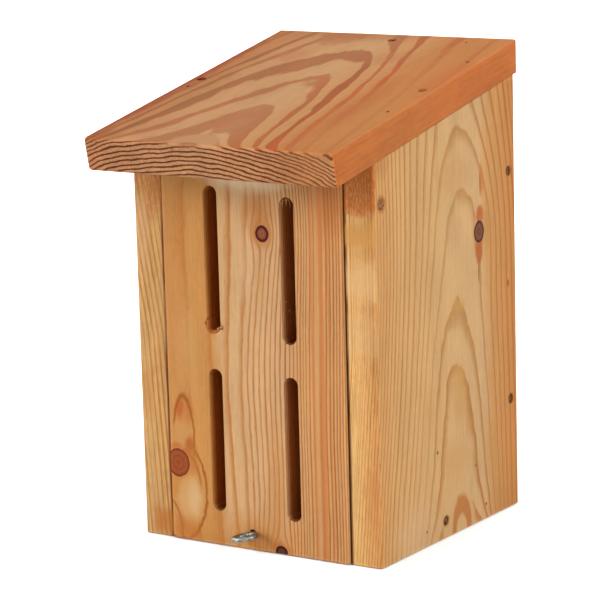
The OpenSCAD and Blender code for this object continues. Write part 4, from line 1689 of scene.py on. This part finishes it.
@dataclass
class Nails:
    """All nails and pins, as the CAD has them, and the bores that they need in the boards."""

    bores: Bores
    nodes: dict[str, Piece]
    back_y: float = 138.0
    back_z: tuple[float, float] = (186.0, 60.5)
    floor_at: tuple[float, float] = (66.0, 9.0)
    pins_at: tuple[tuple[float, float], ...] = ((46.0, 8.0), (109.0, 8.0))
    pivot_at: tuple[float, float] = (6.6, 187.5)
    roof_nails: tuple[tuple[float, float], ...] = ((-69.05, 58.0), (69.05, 58.0), (4.0, 136.0))
    roof_pins: tuple[tuple[float, float], ...] = (
        (-69.05, 45.0), (69.05, 23.0), (69.05, 104.0), (50.25, 136.0))

    def dress(self) -> None:
        """Gives every nail and pin its steel."""
        for name, piece in self.nodes.items():
            if "pivot" in name:
                PIVOT_STEEL.dress(piece)
            elif "nail" in name or "pin" in name:
                NAIL_STEEL.dress(piece)

    def in_side(self, side: int, ending: str = "") -> list[Piece]:
        """Cutters for one side board.

        Args:
            side: -1 for the left board, 1 for the right.
            ending: _dent for the crushed wood round the heads; nothing for the bores.

        Returns:
            The cutters.
        """
        way = Way.LEFT if side > 0 else Way.RIGHT
        places = [("nail", self.back_y, z) for z in self.back_z]
        places.append(("nail", *self.floor_at))
        places += [("pin", *at) for at in self.pins_at]
        places.append(("pivot", *self.pivot_at))
        return [self.bores.cut(shape + ending, f"cut_side_{shape}_{i}", way,
                               spot(side * HOUSE_W / 2, y, z))
                for i, (shape, y, z) in enumerate(places)]

    def in_roof(self, way: Way, ending: str = "") -> list[Piece]:
        """Cutters for the roof board.

        Args:
            way: Straight down, or square to the slope.
            ending: As for a side board.

        Returns:
            The cutters.
        """
        made = []
        for kind, places, radius in (("nail", self.roof_nails, 2.5), ("pin", self.roof_pins, 0.6)):
            drop = 0.0 if way is Way.SLOPE else radius * TAN
            for index, (x, y) in enumerate(places):
                top = FRONT_H + y * TAN + ROOF_T / COS - drop
                made.append(self.bores.cut(kind + ending, f"cut_roof_{kind}_{index}", way,
                                           spot(x, y, top)))
        return made

    def in_door(self) -> list[Piece]:
        """Cutters for the door's pivot holes and the screw eye's hole."""
        y, z = self.pivot_at
        return [self.bores.cut("door_pivot", "cut_door_left", Way.RIGHT, spot(-DOOR_W / 2, y, z)),
                self.bores.cut("door_pivot", "cut_door_right", Way.LEFT, spot(DOOR_W / 2, y, z)),
                self.bores.cut("eye", "cut_eye", Way.BACK, spot(EYE_X, DOOR_FRONT, EYE_Z))]


@dataclass
class Walls:
    """The two side boards, the back board and the floor board."""

    nails: Nails
    soft: float = 1.2
    soft_inside: float = 0.6
    joint_crisp: float = 0.3
    blank_height: float = 240.0
    wall_hole_z: float = 180.0

    def sides(self) -> list[Piece]:
        """Both side boards."""
        made = []
        for side, name, wood in ((-1, "side_left", LEFT_WOOD), (1, "side_right", RIGHT_WOOD)):
            x = INNER_W / 2 if side > 0 else -HOUSE_W / 2
            board = UprightBoard(
                name, "house", "larch_side", wood, spot(x, 0, 0),
                Vector((BOARD_T, HOUSE_D, self.blank_height)) * MM, Vector((0, 0, 1)), self.soft,
                crisp=self.joint_crisp, tight=INNER_W / 2, cutters=self.nails.in_side(side),
                dents=self.nails.in_side(side, "_dent"))
            made.append(board.build())
        return made

    def back(self) -> Piece:
        """The back board, with its wall hole."""
        hole = self.nails.bores.cut("wall", "cut_wall", Way.BACK, spot(0, BACK_Y, self.wall_hole_z))
        size = Vector((INNER_W, BOARD_T, self.blank_height + 1)) * MM
        return UprightBoard(
            "back_board", "house", "larch_back", BACK_WOOD, spot(-INNER_W / 2, BACK_Y, 0),
            size, Vector((0, 0, 1)), self.soft_inside, cutters=[hole]).build()

    def floor(self) -> Piece:
        """The floor board, with the keeper hole for the screw eye."""
        at = spot(EYE_X, FLOOR_FRONT, EYE_Z)
        hole = self.nails.bores.cut("keeper", "cut_keeper", Way.BACK, at)
        size = Vector((INNER_W, BACK_Y - FLOOR_FRONT, BOARD_T)) * MM
        return Board(
            "floor_board", "house", "larch_floor", FLOOR_WOOD, spot(-INNER_W / 2, FLOOR_FRONT, 0),
            size, Vector((1, 0, 0)), self.soft_inside, cutters=[hole]).build()


@dataclass
class Roof:
    """The roof board."""

    nails: Nails
    soft: float = 2.2

    def build(self) -> Piece:
        """Makes the roof board on the slope."""
        run = OVERHANG + HOUSE_D / COS + ROOF_T
        return RoofBoard(
            "roof", "house", "larch_roof", ROOF_WOOD, Vector((-ROOF_W / 2, 0, 0)) * MM,
            Vector((ROOF_W, run, ROOF_T)) * MM, Vector((0, COS, SIN)), self.soft,
            cutters=self.nails.in_roof(Way.DOWN),
            dents=self.nails.in_roof(Way.SLOPE, "_dent")).build()


@dataclass
class Door:
    """The slotted front board that swings on the pivot nails."""

    nails: Nails
    lift: float = 0.2
    height: float = 204.0
    soft: float = 0.9
    crisp: float = 0.3
    cell: float = 2.6

    def build(self) -> Piece:
        """Makes the front board."""
        return SlottedDoor(
            "door", "door", "larch_door", DOOR_WOOD, spot(-DOOR_W / 2, DOOR_FRONT, self.lift),
            Vector((DOOR_W, BOARD_T, self.height)) * MM, Vector((0, 0, 1)), self.soft,
            cell=self.cell, crisp=self.crisp, tight=DOOR_W / 2, cutters=self.nails.in_door()).build()


@dataclass
class ScrewEye:
    """The bent wire eye: threaded shank, neck and an almost closed ring."""

    centre: Triple = (EYE_X, -9.1, EYE_Z)
    wire: float = 3.0
    ring: float = 5.8
    roll: float = 11.5
    tip: float = 26.8
    point: float = 7.0
    point_radius: float = 1.16
    bend: float = 352.0
    ridge: float = 0.42
    core: float = 1.05
    turn_steps: int = 20
    fading: float = 0.45
    faded: float = 0.8

    # Steps of the shank: millimetres past the ring's wire and radius, then short of the tip and radius
    NECK = ((-0.4, 0.9), (0.2, 1.5), (2.6, 1.5), (3.2, 1.42))
    POINT = ((2.5, 0.8), (0.3, 0.2))
    # Where the thread runs: millimetres past the ring's wire, and millimetres short of the tip
    THREAD = (9.0, 1.2)
    # Degrees up to which an edge is shaded round
    ROUND = 40.0

    def build(self) -> Piece:
        """Bends the wire by spinning its cross-section, then draws out the shank."""
        x, y, z = self.centre
        # Cross-section at the back of the ring, facing sideways, spun almost once round
        piece = Bench.body("screw_eye_wire", bpy.ops.mesh.primitive_circle_add, vertices=24,
                           radius=self.wire / 2 * MM, fill_type="NGON",
                           location=(0, self.ring * MM, 0), rotation=(0, math.radians(90), 0))
        Bench.enter(piece)
        bpy.ops.mesh.spin(steps=72, angle=math.radians(self.bend), center=(0, 0, 0), axis=(0, 0, 1))
        bpy.ops.mesh.select_all(action="SELECT")
        bpy.ops.mesh.remove_doubles(threshold=1e-6)
        Bench.leave()
        Bench.outwards(piece)
        end = self.tip - y
        steps = [*((self.ring + past, radius) for past, radius in self.NECK),
                 (end - self.point, self.point_radius),
                 *((end - short, radius) for short, radius in self.POINT)]
        shank = Bench.turned("shank", steps, 24)
        shank.data.transform(Matrix.Rotation(math.radians(-90), 4, "X"))
        thread = self.thread(self.ring + self.THREAD[0], end - self.THREAD[1])
        ring_turn = Matrix.Rotation(math.radians(-self.roll), 4, "Y")
        piece.data.transform(ring_turn)
        made = Bench.joined([piece, shank, thread], "screw_eye_wire")
        made.data.transform(Matrix.Translation(spot(x, y, z)))
        Bench.shade(made, self.ROUND)
        EYE_ZINC.dress(made)
        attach(made, "eye")
        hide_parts("screw_eye")
        return made

    def thread(self, start: float, stop: float, rise: float = 1.35) -> Piece:
        """The wood-screw thread as one wound ridge.

        Args:
            start: Where it begins behind the ring's centre.
            stop: Where it ends.
            rise: Distance between turns.

        Returns:
            The ridge, about the Y axis.
        """
        piece = Bench.body("thread", bpy.ops.mesh.primitive_circle_add, vertices=3,
                           radius=self.ridge * MM, fill_type="NGON",
                           location=(self.core * MM, 0, start * MM),
                           rotation=(math.radians(90), 0, 0))
        turns = (stop - start) / rise
        Bench.enter(piece)
        steps = int(turns * self.turn_steps)
        bpy.ops.mesh.spin(steps=steps, angle=2 * math.pi * turns, center=(0, 0, start * MM),
                          axis=(0, 0, 1))
        Bench.leave()
        mesh = piece.data
        # The spun rings are drawn out into a helix, and the ridge sinks towards the point
        for index, vertex in enumerate(mesh.vertices):
            share = (index // 3) / steps
            past = max(0.0, share - self.fading) / (1.0 - self.fading)
            fade = 1.0 - self.faded * past
            vertex.co.z += share * (stop - start) * MM
            flat = Vector((vertex.co.x, vertex.co.y, 0))
            vertex.co.x, vertex.co.y = (flat * fade).xy
        mesh.transform(Matrix.Rotation(math.radians(-90), 4, "X"))
        Bench.outwards(piece)
        return piece


@dataclass
class TornFibres:
    """Loose fibres that the router left at the slots."""

    seed: int = 4
    roots: tuple[tuple[float, float], ...] = (
        (19.2, 185.6), (20.3, 186.8), (21.6, 187.6), (22.8, 187.9), (23.9, 187.3))
    hairs: tuple[tuple[float, float, float, float], ...] = (
        (18.3, 1.0, 133.2, 5.5), (18.4, 3.2, 128.4, 6.4), (26.6, 2.2, 122.6, -4.5))
    hair: float = 0.16
    torn: tuple[float, float] = (-24.7, 119.2)
    tufts: tuple[tuple[float, float], ...] = ((-28.9, 119.4), (-28.6, 118.0))
    taper: float = 0.8

    # The short fibres in millimetres: drop, lean, depth of the root, stray of each step, radius
    DROP, LEAN, ROOT, STRAY, RADIUS = (2.0, 4.2), (-1.0, 1.0), (0.0, 0.8), (-0.2, 0.3), (0.14, 0.24)
    # Their roots: the depth that ROOT is added to, and how far above the listed height they start
    ROOT_DEPTH, ABOVE = -1.0, 0.6
    # The hairs' waves, inwards and upwards: height in millimetres and radians for each step
    WAVE_IN, WAVE_UP = (0.5, 1.7), (1.4, 0.9)
    # The burr's bearing in degrees, its reach and its depth: at its start, and more for each step
    BURR_TURN, BURR_REACH, BURR_DEPTH = (200, 23), (4.5, 0.06), (-1.35, -0.03)
    TIP = ((-22.0, -1.3, 116.6), (-20.2, -1.8, 117.5), (-18.7, -2.0, 118.3))
    # A tuft's places: to the right of its root, in depth, and above its root
    TUFT = ((0.0, -1.2, 0.0), (-0.6, -1.6, 0.5), (-1.1, -1.9, 0.3))
    BURR_THICK, TIP_THICK, TUFT_THICK = 0.6, 0.8, 0.3
    # Degrees up to which an edge is shaded round
    ROUND = 50.0

    def strand(self, name: str, points: Sequence[Triple], thick: float) -> Piece:
        """One fibre, tapering to its tip.

        Args:
            name: Its name.
            points: Places along it, in millimetres.
            thick: Radius at its root.

        Returns:
            The fibre.
        """
        way = (Vector(points[1]) - Vector(points[0])).to_track_quat("Z", "Y").to_euler()
        piece = Bench.body(name, bpy.ops.mesh.primitive_circle_add, vertices=5, radius=thick * MM,
                           fill_type="NGON", location=spot(*points[0]), rotation=way)
        Bench.enter(piece)
        for before, after in zip(points, points[1:]):
            step = spot(*after) - spot(*before)
            bpy.ops.mesh.extrude_region_move(TRANSFORM_OT_translate={"value": step})
            bpy.ops.transform.resize(value=(self.taper,) * 3, center_override=spot(*after))
        Bench.leave()
        Bench.outwards(piece)
        return piece

    def fringe(self) -> list[Piece]:
        """The short fibres that hang at the top of the upper right slot."""
        dice = random.Random(self.seed)
        made = []
        for index, (x, z) in enumerate(self.roots):
            drop, lean = dice.uniform(*self.DROP), dice.uniform(*self.LEAN)
            points = [(x, self.ROOT_DEPTH + dice.uniform(*self.ROOT), z + self.ABOVE)]
            for step in range(1, 5):
                points.append((x + lean * step / 4, points[0][1] + dice.uniform(*self.STRAY),
                               z + self.ABOVE - drop * step / 4))
            made.append(self.strand(f"fibre_{index}", points, dice.uniform(*self.RADIUS)))
        return made

    def across(self) -> list[Piece]:
        """The hairs that cross the upper right slot."""
        (inwards, turn_in), (up, turn_up) = self.WAVE_IN, self.WAVE_UP
        made = []
        for index, (x, y, z, reach) in enumerate(self.hairs):
            points = [(x + reach * step / 5, y + inwards * math.sin(step * turn_in),
                       z + up * math.sin(step * turn_up)) for step in range(6)]
            made.append(self.strand(f"hair_{index}", points, self.hair))
        return made

    def burr(self) -> list[Piece]:
        """The burr, its tip and two tufts round the torn lower end of the upper left slot."""
        x, z = self.torn
        points = []
        for step in range(7):
            degrees, reach, depth = (first + more * step for first, more in (
                self.BURR_TURN, self.BURR_REACH, self.BURR_DEPTH))
            turn = math.radians(degrees)
            points.append((x + reach * math.cos(turn), depth, z + reach * math.sin(turn)))
        made = [self.strand("burr", points, self.BURR_THICK),
                self.strand("burr_tip", self.TIP, self.TIP_THICK)]
        for index, (x, z) in enumerate(self.tufts):
            places = [(x + right, deep, z + up) for right, deep, up in self.TUFT]
            made.append(self.strand(f"tuft_{index}", places, self.TUFT_THICK))
        return made

    def build(self) -> Piece:
        """All fibres as one piece on the door."""
        piece = Bench.joined([*self.fringe(), *self.across(), *self.burr()], "torn_fibres")
        Bench.shade(piece, self.ROUND)
        DOOR_WOOD.dress(piece)
        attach(piece, "door")
        return piece


@dataclass(frozen=True)
class Lamp:
    """A soft far lamp, by its bearing from the house's front, its height in degrees and its light."""

    name: str
    bearing: float
    height: float
    light: float
    spread: float = 34.0
    far: float = 2.5

    def hang(self) -> None:
        """Hangs the lamp so that it shines on the house."""
        data = bpy.data.lights.new(self.name, "SUN")
        data.energy, data.angle = self.light * math.pi, math.radians(self.spread)
        holder = bpy.data.objects.new(self.name, data)
        way, rise = math.radians(self.bearing), math.radians(self.height)
        off = Vector((math.sin(way) * math.cos(rise), -math.cos(way) * math.cos(rise), math.sin(rise)))
        holder.location = off * self.far
        holder.rotation_euler = off.to_track_quat("Z", "Y").to_euler()
        bpy.context.scene.collection.objects.link(holder)


@dataclass
class Studio:
    """Pale floor, soft light and the camera at the photograph's view."""

    camera_at: Triple = (0.793776, -1.215176, 0.412059)
    aim: Triple = (-0.007901, 0.002773, 0.123008)
    roll: float = -1.5475
    lens: float = 167.208
    sensor: float = 36.0
    sky: float = 0.60
    white: float = 0.80
    sheet: float = 30.0
    sheet_gap: float = 0.0004
    clip: tuple[float, float] = (0.05, 60.0)
    lamps: tuple[Lamp, ...] = (
        Lamp("front_left", -36.0, 20.0, 1.15),
        Lamp("right", 78.0, 20.0, 1.12),
        Lamp("back", 176.0, 24.0, 0.90),
        Lamp("left", -104.0, 20.0, 0.70),
        Lamp("top", -10.0, 76.0, 0.28),
    )

    def floor(self) -> Piece:
        """A wide sheet of white paper."""
        sheet = Bench.body("studio_floor", bpy.ops.mesh.primitive_plane_add, size=self.sheet,
                           location=(0, 0, -self.sheet_gap))
        Paper("studio_paper", self.white).dress(sheet)
        return sheet

    def light(self) -> None:
        """White surroundings and soft lamps."""
        scene = bpy.context.scene
        world = bpy.data.worlds.new("studio_air")
        world.use_nodes = True
        backdrop = world.node_tree.nodes["Background"]
        backdrop.inputs["Color"].default_value = (1.0, 1.0, 1.0, 1.0)
        backdrop.inputs["Strength"].default_value = self.sky
        scene.world = world
        for lamp in self.lamps:
            lamp.hang()

    def camera(self) -> Piece:
        """The camera that took the photograph."""
        scene = bpy.context.scene
        data = bpy.data.cameras.new("studio_camera")
        data.lens, data.sensor_width = self.lens, self.sensor
        data.clip_start, data.clip_end = self.clip
        holder = bpy.data.objects.new("studio_camera", data)
        way = (Vector(self.aim) - Vector(self.camera_at)).to_track_quat("-Z", "Y")
        holder.location = self.camera_at
        holder.rotation_euler = (way @ Quaternion((0, 0, 1), math.radians(self.roll))).to_euler()
        scene.collection.objects.link(holder)
        scene.camera = holder
        scene.view_settings.view_transform = "Standard"
        return holder


def main() -> None:
    """Loads the frame, builds and dresses each sub-assembly, and notes the sizes."""
    logging.basicConfig(level=logging.INFO, format="%(message)s")
    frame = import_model()
    Studio().camera()
    nails = Nails(Bores(), frame["nodes"])
    nails.dress()
    made = [*Walls(nails).sides(), Walls(nails).back(), Walls(nails).floor(),
            Roof(nails).build(), Door(nails).build(), ScrewEye().build(), TornFibres().build()]
    nails.bores.clear()
    for piece in made:
        log.info("%s: %d faces", piece.name, len(piece.data.polygons))
    Studio().floor()
    Studio().light()


if __name__ == "__main__":
    main()
